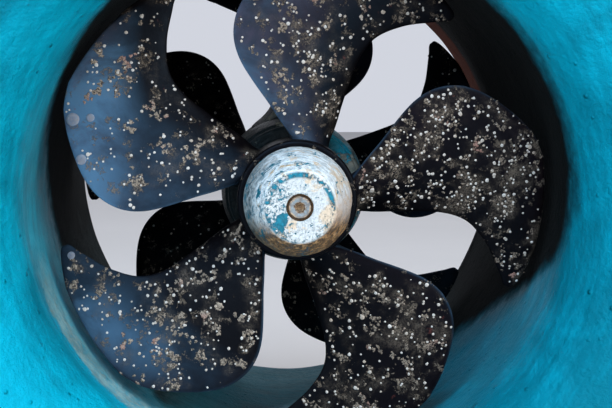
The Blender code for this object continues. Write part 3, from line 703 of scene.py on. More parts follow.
def piece(name, shells, finish, body, slot=None, replaced=(), sharp=40.0, **values):
    """Mesh object of one or more (points, faces) shells, with values stored on its points.

    Doubled points are merged, which closes the seams and poles, and the faces turned outwards.
    """
    points = np.vstack([np.reshape(shell, (-1, 3)) for shell, _ in shells])
    starts = np.cumsum([0] + [np.size(shell) // 3 for shell, _ in shells])
    faces = [[start + index for index in face] for start, (_, part) in zip(starts, shells) for face in part]
    mesh = bpy.data.meshes.new(name)
    mesh.from_pydata(points + np.array(AXIS), [], faces)
    for label, numbers in values.items():
        stored = mesh.attributes.new(label, "FLOAT", "POINT")
        stored.data.foreach_set("value", np.ravel(numbers).astype(np.float32))
    bm = bmesh.new()
    bm.from_mesh(mesh)
    bmesh.ops.remove_doubles(bm, verts=bm.verts, dist=2e-7)
    bmesh.ops.recalc_face_normals(bm, faces=bm.faces)
    bm.to_mesh(mesh)
    bm.free()
    mesh.shade_smooth()
    mesh.set_sharp_from_angle(angle=math.radians(sharp))
    obj = bpy.data.objects.new(name, mesh)
    bpy.context.collection.objects.link(obj)
    coat(obj, finish)
    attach(obj, body)
    if replaced:
        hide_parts(*replaced)
    return obj


def facing(points, phase):
    """Points of a front piece turned half round upright, to face the rear, and then on by the phase."""
    x, y, z = np.moveaxis(points, -1, 0)
    c, s = math.cos(phase), math.sin(phase)
    return np.stack([z * s - x * c, -y, z * c + x * s], axis=-1)


def placed(shells, rear, phase=0.0):
    """Shells of a front piece as they are, or facing the rear."""
    return [(facing(points, phase), faces) for points, faces in shells] if rear else shells


def joined(made):
    """Shells of (shell, values) pairs, and their values end to end."""
    values = {key: np.concatenate([np.ravel(row[key]) for _, row in made]) for key in made[0][1]}
    return [shell for shell, _ in made], values


def rounded(profile, radii, steps=5):
    """Closed profile with rounded corners: each is a curve from that far before it to that far after it."""
    points = np.asarray(profile, float)
    t = np.linspace(0.0, 1.0, steps + 1)[:, None]
    curves = []
    for index, radius in enumerate(radii):
        corner = points[index]
        to_last, to_next = points[index - 1] - corner, points[(index + 1) % len(points)] - corner
        if radius <= 0:
            curves.append(corner[None])
            continue
        start = corner + to_last * min(radius / np.hypot(*to_last), 0.49)
        end = corner + to_next * min(radius / np.hypot(*to_next), 0.49)
        curves.append((1 - t) ** 2 * start + 2 * t * (1 - t) * corner + t**2 * end)
    return np.vstack(curves)


def ring(profile, steps=192, relief=None):
    """Closed profile of (radius, outboard) carried round the shaft.

    relief(radius, outboard, a) moves the points along the profile's own normals.
    """
    r, out = np.asarray(profile, float).T
    a = turns(steps)
    if relief:
        along_r, along_out = (np.roll(value, -1) - np.roll(value, 1) for value in (r, out))
        length = np.hypot(along_r, along_out)
        inside_out = np.sign(np.sum(r * np.roll(out, -1) - out * np.roll(r, -1)))
        lift = relief(r, out, a) * inside_out
        r, out = r + lift * along_out / length, out - lift * along_r / length
    return turned(r, out, a)


def hexagon(a):
    """Distance to a hexagon's edge in the direction a, where its flats are at 1."""
    return 1 / np.cos((a + math.pi / 6) % (math.pi / 3) - math.pi / 6)


def stud(profile, steps=36):
    """Rows of (radius, height, 0 for round or 1 for six-sided) from pole to pole, round the local height."""
    r, height, six = np.asarray(profile, float).T
    a = turns(steps)
    across = r * (1 + six * (hexagon(a) - 1))
    return surface(across * np.cos(a), across * np.sin(a), height, close_rows=True)


def swells(x, y, z, scale):
    """Smooth bumps from about -1 to 1: products of sines that run at angles to each other."""
    u, v, w = x / scale, y / scale, z / scale
    broad = np.sin(1.7 * u + 0.9 * v + 0.4) * np.sin(1.3 * w - 0.8 * u + 1.1)
    middle = np.sin(2.9 * v - 1.1 * w + 2.3) * np.sin(2.3 * u + 1.9 * w)
    small = np.sin(4.3 * w + 2.1 * v + 0.7) * np.sin(3.7 * u - 2.7 * v + 2.9)
    return (broad + 0.6 * middle + 0.4 * small) / 1.6


def soften(node, width, finish):
    """Keeps a solid's own mesh: its loose triangles are welded, its edges bevelled, and it is coated."""
    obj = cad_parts[node]
    weld = obj.modifiers.new("weld", "WELD")
    weld.merge_threshold = 0.00001
    bevel = obj.modifiers.new("bevel", "BEVEL")
    bevel.width = width
    bevel.segments = 2
    bevel.limit_method = "ANGLE"
    bevel.angle_limit = math.radians(38)
    coat(obj, finish)


# Tunnel


def plate_relief(radius, outboard, a):
    """Plate that isn't quite true, under thick paint."""
    return chosen("tunnel").unevenness * swells(radius * np.cos(a), outboard, radius * np.sin(a), 0.022)


def weld_bead(outboard):
    """Bead round the tube: half a round whose height beats with each step of the welder's hand."""
    sizes = chosen("tunnel")
    sunk, steps = 0.0008, 150
    a, t = turns(900), np.linspace(0.0, math.pi, 9)
    ripple = 1 + 0.18 * np.abs(np.sin(steps * a)) + 0.10 * np.sin(7 * a + 1.3)
    wander = 0.0005 * np.sin(5 * a) + 0.0003 * np.sin(13 * a + 0.4)
    r = TUBE_RADIUS - sunk + sizes.weld_height * ripple * np.sin(t)
    return turned(r, outboard + wander + sizes.weld_width / 2 * np.cos(t), a)


class THRUSTER_OT_tunnel(bpy.types.Operator):
    """Tube between the mouths and the weld beads round its outside"""

    bl_idname = "thruster.tunnel"
    bl_label = "Tunnel"

    def execute(self, context):
        along = np.linspace(-TUBE_END, TUBE_END, 60)
        walls = ((TUBE_RADIUS - chosen("tunnel").wall, along), (TUBE_RADIUS, -along))
        profile = [np.stack([0 * out + radius, out], axis=1) for radius, out in walls]
        tube = ring(np.vstack(profile), 240, plate_relief)
        piece("tunnel_wall", [tube], tunnel_coat, "tunnel", "tunnel_paint", ["tunnel_tube"])
        beads = [weld_bead(TUBE_END), weld_bead(-TUBE_END)]
        piece("weld_beads", beads, tunnel_coat, "tunnel", "tunnel_paint")
        return {"FINISHED"}


def mouth_profile():
    """Quarter circles of the water side and the hull side, joined round the flange's rounded rim."""
    sizes = chosen("tunnel")
    bend = RIM_RADIUS - sizes.flange
    inner = sizes.flare - sizes.wall
    low = FLARE_START + inner
    a = np.linspace(0.0, math.pi / 2, 44)
    water, hull = (
        np.stack([bend - r * np.cos(a), FLARE_START + r * np.sin(a)], axis=1) for r in (sizes.flare, inner)
    )
    corners = [(bend, low), (bend, MOUTH_FACE), (RIM_RADIUS, MOUTH_FACE), (RIM_RADIUS, low)]
    rim = rounded(corners, (0, 0, sizes.rim_round, sizes.rim_round), 6)
    return np.vstack([water, rim[2:], hull[::-1]])


class THRUSTER_OT_mouths(bpy.types.Operator):
    """Front and rear flared mouths with their flat flanges"""

    bl_idname = "thruster.mouths"
    bl_label = "Flared mouths"

    def execute(self, context):
        mouth = [ring(mouth_profile(), 300, plate_relief)]
        for end, rear in ENDS:
            node = f"{end}_bell_mouth"
            piece(f"{end}_flare", placed(mouth, rear), tunnel_coat, "tunnel", "tunnel_paint", [node])
        return {"FINISHED"}


# Propellers

# At shares of the tip's radius, the bulging and the hollow edge in degrees clockwise of the blade's line
OUTLINE_SHARES = np.array((0.20, 0.30, 0.40, 0.50, 0.60, 0.70, 0.80, 0.90, 0.95, 0.98, 1.00))
BULGING_EDGE = np.array((-17.0, -28.9, -34.8, -38.6, -40.1, -38.4, -33.0, -23.2, -17.8, -13.9, -9.0))
HOLLOW_EDGE = np.array((14.5, 12.5, 9.2, 7.4, 6.7, 8.6, 14.3, 21.3, 23.8, 21.8, 14.0))
# The next five list the blades clockwise from the right. How fouled each is, and how much more so towards
# its hollow edge and towards its tip
BLADE_FOULING = np.array(
    ((1.0, 0.0, 0.15), (0.76, -0.15, 0.35), (0.66, -0.1, 0.0), (0.52, 0.30, -0.15), (0.75, -0.1, -0.3))
)
# How large the clumps of crust are
BLADE_CRUSTS = np.array((0.62, 0.72, 1.05, 1.0, 0.82))
# How strong the painted blue sheen and the painted violet sheen are at four shares of the way from root to
# tip
CAST_SHARES = (0.0, 0.55, 0.85, 1.0)
BLADE_PAINTED_SHEEN = ((0,) * 4, (0,) * 4, (0, 0, 0.75, 0.90), (0.04, 0.34, 1.45, 0.9), (0.52, 0.60, 0.45, 0))
BLADE_VIOLET_SHEEN = ((0.1,) * 4, (0.05,) * 4, (0, 0, 0.1, 0.3), (0, 0.1, 0.9, 1.5), (0.4, 1.0, 1.1, 0.4))
# How much of the painted blue sheen is left at the bulging edge, in the middle and at the hollow edge
SHEEN_ACROSS = ((1, 1, 1), (1, 1, 1), (0.10, 1.0, 0.20), (1.0, 0.80, -0.6), (1.0, 0.14, 0.0))
# How much of the fouling, the painted blue sheen and the painted violet sheen is left on the inboard faces
INBOARD_SHARES = {"growth": 0.5, "bloom": 0.3, "violet": 0.6}


def smooth_curve(stations, values, at):
    """A cubic through the stations, with each slope taken from its neighbours."""
    slopes = np.gradient(values, stations)
    index = np.clip(np.searchsorted(stations, at, side="right") - 1, 0, len(stations) - 2)
    width = stations[index + 1] - stations[index]
    t = (at - stations[index]) / width
    start = (2 * t**3 - 3 * t**2 + 1) * values[index] + (t**3 - 2 * t**2 + t) * width * slopes[index]
    end = (3 * t**2 - 2 * t**3) * values[index + 1] + (t**3 - t**2) * width * slopes[index + 1]
    return start + end


def blade_edges(radius):
    """Angles of the bulging and the hollow edge at a radius."""
    share = radius / chosen("blades").tip_radius
    return [np.radians(smooth_curve(OUTLINE_SHARES, edge, share)) for edge in (BULGING_EDGE, HOLLOW_EDGE)]


def blade_reach():
    """Radius at which a blade starts, inside the hub, and how far it reaches from there."""
    sizes = chosen("blades")
    inner = sizes.hub_radius - sizes.root_depth
    return inner, sizes.tip_radius - inner


def outwards(radius):
    """0 where a blade starts inside the hub and 1 at its tip."""
    inner, length = blade_reach()
    return (radius - inner) / length


def blade_point(number, radius, angle, side, lift=0.0):
    """Point on a blade's face: on the helix whose depth is climb times angle, off it by half the thickness.

    Side -1 is the outboard face. The thickness is a plate with rounded edges, plus a belly that is a
    parabola across, plus a fillet at the hub. Lift raises the point off the face.
    """
    sizes = chosen("blades")
    edge_power, tip_power, fillet_reach = 14, 60, 4 * sizes.fillet
    climb = sizes.pitch / math.tau
    bulging, hollow = blade_edges(radius)
    across = np.clip(2 * (angle - bulging) / (hollow - bulging) - 1, -1, 1)
    out = outwards(radius)
    thickest = sizes.root_thickness + (sizes.tip_thickness - sizes.root_thickness) * out
    edge = np.sqrt(1 - np.abs(across) ** edge_power)
    belly = (thickest - sizes.edge_thickness) * (1 - across**2)
    near_hub = np.clip(1 - (radius - sizes.hub_radius) / fillet_reach, 0, 1.3)
    tip = np.sqrt(np.clip(1 - np.abs(out) ** tip_power, 0, 1))
    half = (sizes.edge_thickness * edge + belly) * tip / 2 + sizes.fillet * near_hub**2 * edge
    shift = side * (half + lift) / np.hypot(radius, climb)
    around = angle + number * math.tau / BLADES
    x = radius * np.cos(around) + shift * climb * np.sin(around)
    y = climb * angle - sizes.mid_outboard + shift * radius
    z = shift * climb * np.cos(around) - radius * np.sin(around)
    return np.stack(np.broadcast_arrays(x, y, z), axis=-1)


def fouling(number, radius, angle):
    """How thick the growth is at a place on a blade, from 0 to 1: each blade's share, in patches."""
    level, to_hollow, to_tip = np.moveaxis(BLADE_FOULING[number], -1, 0)
    bulging, hollow = blade_edges(radius)
    across = (angle - bulging) / (hollow - bulging) - 0.5
    broad, small, apart, bare_share = 0.010, 0.0035, 0.03, 0.10
    u, v, w = radius * np.cos(angle), radius * np.sin(angle), apart * np.asarray(number)
    patches = swells(u, v, w, broad) + 0.6 * swells(v, u, w, small)
    lean = 1 + 2 * to_hollow * across + 2 * to_tip * (outwards(radius) - 0.5)
    bare_edge = np.clip((0.5 - np.abs(across)) / bare_share, 0, 1)
    return np.clip(level * lean * (0.42 + 0.62 * patches) * (0.3 + 0.7 * bare_edge), 0, 1)


def blade_shell(number):
    """Both faces of a blade on a grid from root to tip, closed round its edges.

    Its values are the shares of fouling, painted blue sheen and painted violet sheen. The painted sheen also
    lines the bulging edge as a painted highlight.
    """
    rows, columns = 84, 48
    inner, length = blade_reach()
    radius = inner + length * np.sin(np.linspace(0.0, math.pi / 2, rows))[:, None]
    bulging, hollow = blade_edges(radius)
    across = (1 - np.cos(np.linspace(0.0, math.pi, columns)))[None, :] / 2
    angle = bulging + (hollow - bulging) * across
    outboard, inboard = (blade_point(number, radius, angle, side) for side in (-1, 1))
    points = np.concatenate([outboard, inboard[:, ::-1]], axis=1)
    casts = (BLADE_PAINTED_SHEEN[number], BLADE_VIOLET_SHEEN[number])
    bloom, violet = (np.interp(outwards(radius), CAST_SHARES, cast) for cast in casts)
    left_across = np.maximum(np.interp(across, (0, 0.5, 1), SHEEN_ACROSS[number]), 0)
    values = {
        "growth": fouling(number, radius, angle),
        # Painted highlight along the bulging edge.
        "bloom": bloom * left_across + 0.3 * np.clip(1 - across / 0.02, 0, 1),
        "violet": violet * np.clip(1.3 - 1.8 * across, 0, 1),
    }
    for key, share in INBOARD_SHARES.items():
        values[key] = np.concatenate([values[key], share * values[key][:, ::-1]], axis=1)
    return (points, grid(rows, 2 * columns, close_columns=True)), values


class THRUSTER_OT_propellers(bpy.types.Operator):
    """Front and rear propellers: a hub with five skewed blades each"""

    bl_idname = "thruster.propellers"
    bl_label = "Propellers"

    def execute(self, context):
        sizes = chosen("blades")
        bore, r = chosen("leg").shaft_bore, sizes.hub_radius
        profile = [(bore, HUB_BACK), (r, HUB_BACK), (r, HUB_FACE), (bore, HUB_FACE)]
        hub = ring(rounded(profile, (0, sizes.hub_round, sizes.hub_round, 0)), 128)
        clean = dict.fromkeys(INBOARD_SHARES, np.zeros(hub[0].shape[:2]))
        shells, shares = joined([(hub, clean), *map(blade_shell, range(BLADES))])
        for end, rear in ENDS:
            blades, node = placed(shells, rear, sizes.rear_phase), f"{end}_propeller"
            piece(f"{end}_bladed_hub", blades, blade_skin, "propellers", "blade_plastic", [node], **shares)
        return {"FINISHED"}


# Growth on the propellers

# Rows of (share of the radius, share of the height) from the hidden underside to the middle of the top
BARNACLE = ((0, -0.2), (1.0, -0.2), (0.86, 0.55), (0.42, 0.82), (0, 0.45))
CRUST = ((0, -0.2), (1.0, -0.2), (0.82, 0.8), (0, 1.0))
LIMPET = ((0, -0.1), (1.0, -0.1), (0.96, 0.5), (0.70, 0.8), (0.35, 1.0), (0, 1.05))


def scattered(rng, count, evenness):
    """Blade numbers, radii and angles of places that are likelier where the fouling is thicker."""
    sizes = chosen("blades")
    tries, clear, widest = count * 30, 0.002, (math.radians(-41), math.radians(24))
    number = rng.integers(0, BLADES, tries)
    radius = np.sqrt(rng.uniform((sizes.hub_radius + clear) ** 2, (sizes.tip_radius - clear) ** 2, tries))
    angle = rng.uniform(*widest, tries)
    bulging, hollow = blade_edges(radius)
    margin = 0.0016 / radius
    inside = (angle > bulging + margin) & (angle < hollow - margin)
    thick = evenness + (1 - evenness) * fouling(number, radius, angle)
    likely = thick * BLADE_FOULING[number, 0] > rng.uniform(0, 1, tries)
    kept = np.flatnonzero(inside & likely)[:count]
    return number[kept], radius[kept], angle[kept]


def domes(places, side, profile, outline, height):
    """Small closed domes on the blades, one at each place.

    The profile's rows are shares of the outline, which is each dome's radius in each direction, and of
    the height. The outline's own steps are taken along the blade and across it.
    """
    climb = chosen("blades").pitch / math.tau
    share, rise = np.asarray(profile, float).T
    count, segments = outline.shape
    a = np.linspace(0.0, math.tau, segments, endpoint=False)
    away = outline[:, None, :] * share[None, :, None]
    number, radius, angle = (value[:, None, None] for value in places)
    r = np.minimum(radius + away * np.cos(a), chosen("blades").tip_radius - 0.0002)
    around = angle + away * np.sin(a) / np.hypot(radius, climb)
    lift = np.broadcast_to(height, (count,))[:, None, None] * rise[None, :, None] + 0 * away
    points = blade_point(number, r, around, side, lift)
    faces = np.array(grid(len(profile), segments, close_columns=True))
    stride = len(profile) * segments
    return points, (faces[None] + stride * np.arange(count)[:, None, None]).reshape(-1, 4).tolist()


def barnacles(rng, count, side):
    """Barnacles, with each point's shade and how deep it lies in the mouth."""
    segments = 7
    in_mouth = (0, 0, 0, 0.1, 1.0)
    places = scattered(rng, count, 0.30)
    found = len(places[0])
    radius = chosen("growth").barnacle_radius * np.exp(rng.normal(0.0, 0.24, found))
    outline = radius[:, None] * (1 + 0.08 * rng.normal(0.0, 1.0, (found, segments)))
    points, faces = domes(places, side, BARNACLE, outline, 0.8 * radius)
    shade = np.repeat(rng.uniform(0.0, 1.0, found) ** 0.6, len(BARNACLE) * segments)
    return (points, faces), {"shade": shade, "mouth": np.tile(np.repeat(in_mouth, segments), found)}


def crusts(rng, count, side):
    """Clumps of overlapping flakes with lobed outlines, with each point's shade.

    An outline is 0.75 plus waves of 2, 3, 5 and 8 lobes, each with its own strength and turn. Small clumps
    are also duller.
    """
    values = chosen("growth")
    segments, height = 16, 0.00022
    number, radius, angle = (np.repeat(value, values.flakes) for value in scattered(rng, count, 0.0))
    found = len(number)
    stray = rng.normal(0, values.clump, (2, found)) * (np.arange(found) % values.flakes > 0)
    large = BLADE_CRUSTS[number]
    size_each = large * values.crust_radius * np.exp(rng.normal(-0.1, 0.35, found))
    radius = radius + stray[0] * large
    bulging, hollow = blade_edges(radius)
    margin = 1.2 * size_each / radius
    angle = np.clip(angle + stray[1] * large / radius, bulging + margin, hollow - margin)
    lobes, heights = np.array((2, 3, 5, 8)), np.array((0.28, 0.24, 0.22, 0.20))
    strength = heights * rng.uniform(0.2, 1.0, (found, 4))
    turned_by = rng.uniform(0, math.tau, (found, 4, 1))
    waves = np.sin(lobes[:, None] * turns(segments).T + turned_by)
    outline = size_each[:, None] * np.clip(0.75 + np.sum(strength[..., None] * waves, axis=1), 0.15, 1.5)
    shell = domes((number, radius, angle), side, CRUST, outline, height)
    shade = np.clip(rng.uniform(0.0, 1.0, found) + 1.6 * (1 - large), 0, 1)
    return shell, {"shade": np.repeat(shade, len(CRUST) * segments)}


def limpets():
    """Four pale discs near the edges of two blades, with how far each point lies from the rim."""
    segments, height = 24, 0.00045
    share, degrees = np.array((0.925, 0.864, 0.852, 0.938)), np.array((-16.5, -14.7, -25.6, 21.0))
    outline = np.tile(np.array((0.0031, 0.0020, 0.0025, 0.0019))[:, None], segments)
    places = (np.array((3, 3, 3, 2)), share * chosen("blades").tip_radius, np.radians(degrees))
    from_rim = np.tile(np.repeat((0, 0, 0.1, 0.6, 0.9, 1.0), segments), len(share))
    return domes(places, -1, LIMPET, outline, height), {"mouth": from_rim}


class THRUSTER_OT_growth(bpy.types.Operator):
    """Barnacles, dried crusts and a few limpets on the blades"""

    bl_idname = "thruster.growth"
    bl_label = "Marine growth"

    def execute(self, context):
        values, phase = chosen("growth"), chosen("blades").rear_phase
        for index, (end, rear) in enumerate(ENDS):
            rng = np.random.default_rng(values.seed + index)
            for name, grow, finish, outboard, inboard in (
                ("barnacles", barnacles, barnacle_shell, values.barnacles, values.inboard_barnacles),
                ("crusts", crusts, dried_crust, values.crusts, values.inboard_crusts),
            ):
                shells, stored = joined([grow(rng, outboard, -1), grow(rng, inboard, 1)])
                grown = placed(shells, rear, phase)
                piece(f"{end}_{name}", grown, finish, "propellers", sharp=70, **stored)
        shells, stored = joined([limpets()])
        piece("front_limpets", shells, limpet_shell, "propellers", sharp=60, **stored)
        return {"FINISHED"}


# Noses


def nose_profile():
    """Skirt, bowed cone, flat face, recess and bore."""
    sizes = chosen("nose")
    t = np.linspace(0.0, 1.0, 30)
    bow = np.cos(t * math.pi / 2) ** 0.8
    cone = sizes.face_radius + (NOSE_RADIUS - sizes.face_radius) * bow
    side = np.stack([cone, NOSE_BASE + sizes.skirt + (NOSE_FACE - NOSE_BASE - sizes.skirt) * t], axis=1)
    edge, lip, bead, recess, bore = 0.0008, 0.0003, 0.0001, sizes.recess_radius, sizes.bore
    face = np.linspace(sizes.face_radius - 0.0006, recess + lip, 14)
    flat = np.stack([face, 0 * face + NOSE_FACE], axis=1)
    floor = NOSE_FACE - sizes.recess_depth
    hole = [(recess + bead, NOSE_FACE - bead), (recess, NOSE_FACE - lip), (recess, floor), (bore, floor)]
    base = [(bore, NOSE_BASE), (NOSE_RADIUS - edge, NOSE_BASE), (NOSE_RADIUS, NOSE_BASE + edge)]
    return np.vstack([base, side[:-1], flat, hole])


def nose_relief(radius, outboard, a):
    """Wear of the zinc: fine rings on the cone, shallow pits, and flats worn on its lower right."""
    sizes, fade = chosen("nose"), 0.001
    ring_height, ring_step, pit_depth, pit_scale, flat_at = 0.00010, 0.0013, 0.00022, 0.0016, 0.0241
    x, z = radius * np.cos(a), radius * np.sin(a)
    off_recess, off_base = radius - sizes.recess_radius - 0.0004, outboard - NOSE_BASE
    outside = np.clip(off_recess / fade, 0, 1) * np.clip(off_base / fade, 0, 1)
    on_cone = np.clip((radius - sizes.face_radius - 0.0004) / fade, 0, 1)
    rings = ring_height * np.sin(outboard * math.tau / ring_step + 0.8 * np.sin(2 * a))
    pits = -pit_depth * np.clip(swells(x, outboard, z, pit_scale) - 0.25, 0, 1)
    flats = (x * math.cos(t) + z * math.sin(t) - flat_at for t in (-0.15, -0.75, -1.35, -2.1))
    return outside * (on_cone * rings + pits) - sum(np.clip(flat, 0, 1) for flat in flats)


def cup_profile():
    """Thin ring that lines the recess, with its lip a little under the face."""
    sizes = chosen("nose")
    floor, lip = NOSE_FACE - sizes.recess_depth, NOSE_FACE - sizes.cup_drop
    round_head, in_recess, edge = 0.00015, 0.00005, 0.0002
    inner, outer = HEAD_RADIUS + round_head, sizes.recess_radius - in_recess
    return rounded([(inner, floor), (outer, floor), (outer, lip), (inner, lip)], (0, 0, edge, edge))


def screw_rows():
    """Shank, head with a turned edge, and a dished six-sided socket."""
    sizes = chosen("nose")
    socket, low, under = sizes.socket / 2, HEAD_TOP - sizes.socket_depth, HEAD_TOP - sizes.head_height
    thread, edge, drill_point = 0.003, 0.0003, 0.0008
    shank = [(0, SCREW_TIP, 0), (thread, SCREW_TIP, 0), (thread, under, 0), (HEAD_RADIUS, under, 0)]
    rim = [(HEAD_RADIUS, HEAD_TOP - edge, 0), (HEAD_RADIUS - edge, HEAD_TOP, 0)]
    dish = [(socket + 0.0012, HEAD_TOP - 0.0001, 0), (socket + 0.0002, HEAD_TOP - 0.0002, 1)]
    hole = [(socket, HEAD_TOP - 0.0005, 1), (socket, low, 1), (0, low - drill_point, 0)]
    return shank + rim + dish + hole


class THRUSTER_OT_noses(bpy.types.Operator):
    """Zinc noses, their brass cup washers and socket screws"""

    bl_idname = "thruster.noses"
    bl_label = "Zinc noses"

    def execute(self, context):
        nose, cup = ring(nose_profile(), 180, nose_relief), ring(cup_profile(), 72)
        points, faces = stud(screw_rows())
        screw = points[..., [0, 2, 1]] * (1, -1, 1), faces
        for end, rear in ENDS:
            for name, shell, finish, slot, nodes in (
                ("zinc_nose", nose, worn_zinc, "anode_zinc", [f"{end}_anode"]),
                ("nose_screw", screw, nose_screw_steel, "stainless_steel", [f"{end}_anode_screw"]),
                ("cup_washer", cup, cup_brass, None, []),
            ):
                shells = placed([shell], rear, chosen("blades").rear_phase)
                piece(f"{end}_{name}", shells, finish, "propellers", slot, nodes)
        return {"FINISHED"}


# Gear leg and what is fixed to it


def pod_shell():
    """Barrel round the shaft, tapered at both ends."""
    sizes = chosen("leg")
    half, bore = sizes.pod_length / 2, sizes.shaft_bore
    end, wide, taper = sizes.pod_end_radius, sizes.pod_radius, sizes.pod_taper
    back = [(bore, -half), (end, -half), (wide, taper - half)]
    front = [(r, -outboard) for r, outboard in back[::-1]]
    edge, shoulder = 0.0015, 0.006
    return ring(rounded(back + front, (0, edge, shoulder, shoulder, edge, 0), 8), 160)


def strut_shell():
    """Section pointed both ways, carried upwards and flared into the pod and the saddle.

    x = half thickness times sin(a)^1.1 and y = half chord times cos(a), both plus the flare.
    """
    sizes = chosen("leg")
    into_pod, into_saddle, saddle = 0.010, 0.003, sizes.saddle_radius - sizes.saddle_thickness
    height = np.linspace(sizes.pod_radius - into_pod, saddle + into_saddle, 40)[:, None]
    a = turns(96).T
    over_pod, under_saddle = 0.010, 0.008
    near_pod = np.clip(1 - (height - sizes.pod_radius) / over_pod, 0, 1.5)
    near_saddle = np.clip(1 - (saddle - height) / under_saddle, 0, 1.2)
    flare = sizes.flow * (near_pod**2 + near_saddle**2)
    x = np.sign(np.sin(a)) * np.abs(np.sin(a)) ** 1.1 * (sizes.thickness / 2 + flare)
    y = np.cos(a) * (sizes.chord / 2 + 0.6 * flare)
    points, faces = surface(x, y, height, close_columns=True)
    return points, faces + np.arange(x.size).reshape(x.shape)[[0, -1]].tolist()


def oblong(a, half_width, half_length, corner):
    """Distance to the edge of a rectangle with rounded corners in the direction a."""
    c, s = np.abs(np.cos(a)), np.abs(np.sin(a))
    flat = np.minimum(half_width / np.maximum(c, 1e-9), half_length / np.maximum(s, 1e-9))
    cx, cy = half_width - corner, half_length - corner
    along = c * cx + s * cy
    arc = along + np.sqrt(np.clip(along**2 - cx**2 - cy**2 + corner**2, 0, None))
    in_corner = (flat * c > cx) & (flat * s > cy)
    return np.where(in_corner, arc, flat)


def saddle_shell():
    """Pad under the tunnel's top: a rounded oblong whose top follows the tunnel and whose bottom is flat."""
    sizes = chosen("leg")
    edge, corner = 0.0025, 0.006
    bottom = sizes.saddle_radius - sizes.saddle_thickness
    a = turns(240).T
    limit = oblong(a, sizes.saddle_width / 2, sizes.saddle_length / 2, corner)
    top_r = limit * np.linspace(0.0, 1.0, 14)[:, None]
    t = np.linspace(0.0, math.pi / 2, 7)[:, None]
    side_r = limit - edge * (1 - np.cos(t))
    floor_r = side_r[-1:] * np.array([[0.5], [0.0]])
    top = np.sqrt(sizes.saddle_radius**2 - (top_r * np.cos(a)) ** 2)
    side = bottom + edge * (1 - np.sin(t)) + 0 * a
    z = np.vstack([top, side, 0 * floor_r + bottom])
    r = np.vstack([top_r, side_r, floor_r])
    return surface(r * np.cos(a), r * np.sin(a), z, close_columns=True)


def neck_shell():
    """Neck through the tunnel's top, bored for the upright shaft."""
    sizes = chosen("leg")
    inner, outer, into_saddle, edge = sizes.drive_bore, sizes.neck_radius, 0.003, 0.001
    low = sizes.saddle_radius - sizes.saddle_thickness + into_saddle
    corners = [(inner, low), (outer, low), (outer, NECK_TOP), (inner, NECK_TOP)]
    points, faces = ring(rounded(corners, (0, 0, edge, edge)), 96)
    return points[..., [0, 2, 1]] * (1, 1, -1), faces


def cap_profile():
    """Bearing cap, with a seat for the seal and a well-rounded outer edge."""
    bore, seat = chosen("leg").shaft_bore + 0.0002, SEAL_RADIUS + 0.0003
    corners = [(bore, CAP_BACK), (CAP_RADIUS, CAP_BACK), (CAP_RADIUS, CAP_FACE), (seat, CAP_FACE)]
    return rounded([*corners, (seat, SEAL_BACK), (bore, SEAL_BACK)], (0, 0.0006, 0.0025, 0.0006, 0, 0))


def cap_screws():
    """Six low socket screws in a bearing cap."""
    head, rise, sunk, chamfer, first = 0.0026, 0.0012, -0.001, 0.0002, 0.3
    rows = [(0, sunk, 0), (head, sunk, 0), (head, rise * 0.5, 0), (head * 0.8, rise, 0)]
    rows += [(head * 0.55, rise, 1), (head * 0.5, rise - chamfer, 1), (head * 0.5, 0, 1), (0, 0, 0)]
    points, faces = stud(rows, 24)
    middle = (SEAL_RADIUS + CAP_RADIUS) / 2
    x, y, height = np.moveaxis(points, -1, 0)
    places = ((middle * math.cos(a), middle * math.sin(a)) for a in np.arange(6) * math.tau / 6 + first)
    return [(np.stack([x + u, -(height + CAP_FACE), y + v], axis=-1), faces) for u, v in places]


class THRUSTER_OT_leg(bpy.types.Operator):
    """Gear leg between the propellers, with its bearing caps, seals and spacers"""

    bl_idname = "thruster.leg"
    bl_label = "Gear leg"

    def execute(self, context):
        shells = [pod_shell(), strut_shell(), saddle_shell(), neck_shell()]
        piece("leg_casting", shells, leg_coat, "tunnel", "leg_paint", ["gear_leg"])
        cap, screws, seal, spacer = [ring(cap_profile(), 128)], cap_screws(), [self.seal()], [self.spacer()]
        for end, rear in ENDS:
            for name, shells, finish, body, slot, nodes in (
                ("cap", cap, leg_coat, "tunnel", "leg_paint", [f"{end}_bearing_cap"]),
                ("cap_screws", screws, stainless, "tunnel", "stainless_steel", []),
                ("lip_seal", seal, black_rubber, "tunnel", "seal_rubber", [f"{end}_shaft_seal"]),
                ("spacer", spacer, stainless, "propellers", "stainless_steel", [f"{end}_shaft_spacer"]),
            ):
                piece(f"{end}_dressed_{name}", placed(shells, rear), finish, body, slot, nodes)
        return {"FINISHED"}

    @staticmethod
    def seal():
        """Shaft seal whose face dips from the lip's rim to the shaft."""
        bore, rim, dip = chosen("leg").shaft_bore, 0.0125, 0.0115
        body = [(bore, SEAL_BACK), (SEAL_RADIUS, SEAL_BACK), (SEAL_RADIUS, SEAL_FACE), (rim, SEAL_FACE)]
        lip = [(dip, SEAL_FACE - 0.0015), (bore + 0.0008, SEAL_FACE - 0.0010), (bore, SEAL_FACE - 0.0002)]
        return ring(rounded(body + lip, (0, 0.0003, 0.0006, 0.0006, 0.0008, 0.0004, 0.0002)), 96)

    @staticmethod
    def spacer():
        """Plain collar with its outer edges taken off."""
        bore, edge = chosen("leg").shaft_bore, 0.0004
        profile = [(bore, SPACER_BACK), (SPACER_RADIUS, SPACER_BACK), (SPACER_RADIUS, SPACER_FACE)]
        return ring(rounded([*profile, (bore, SPACER_FACE)], (0, edge, edge, 0)), 96)


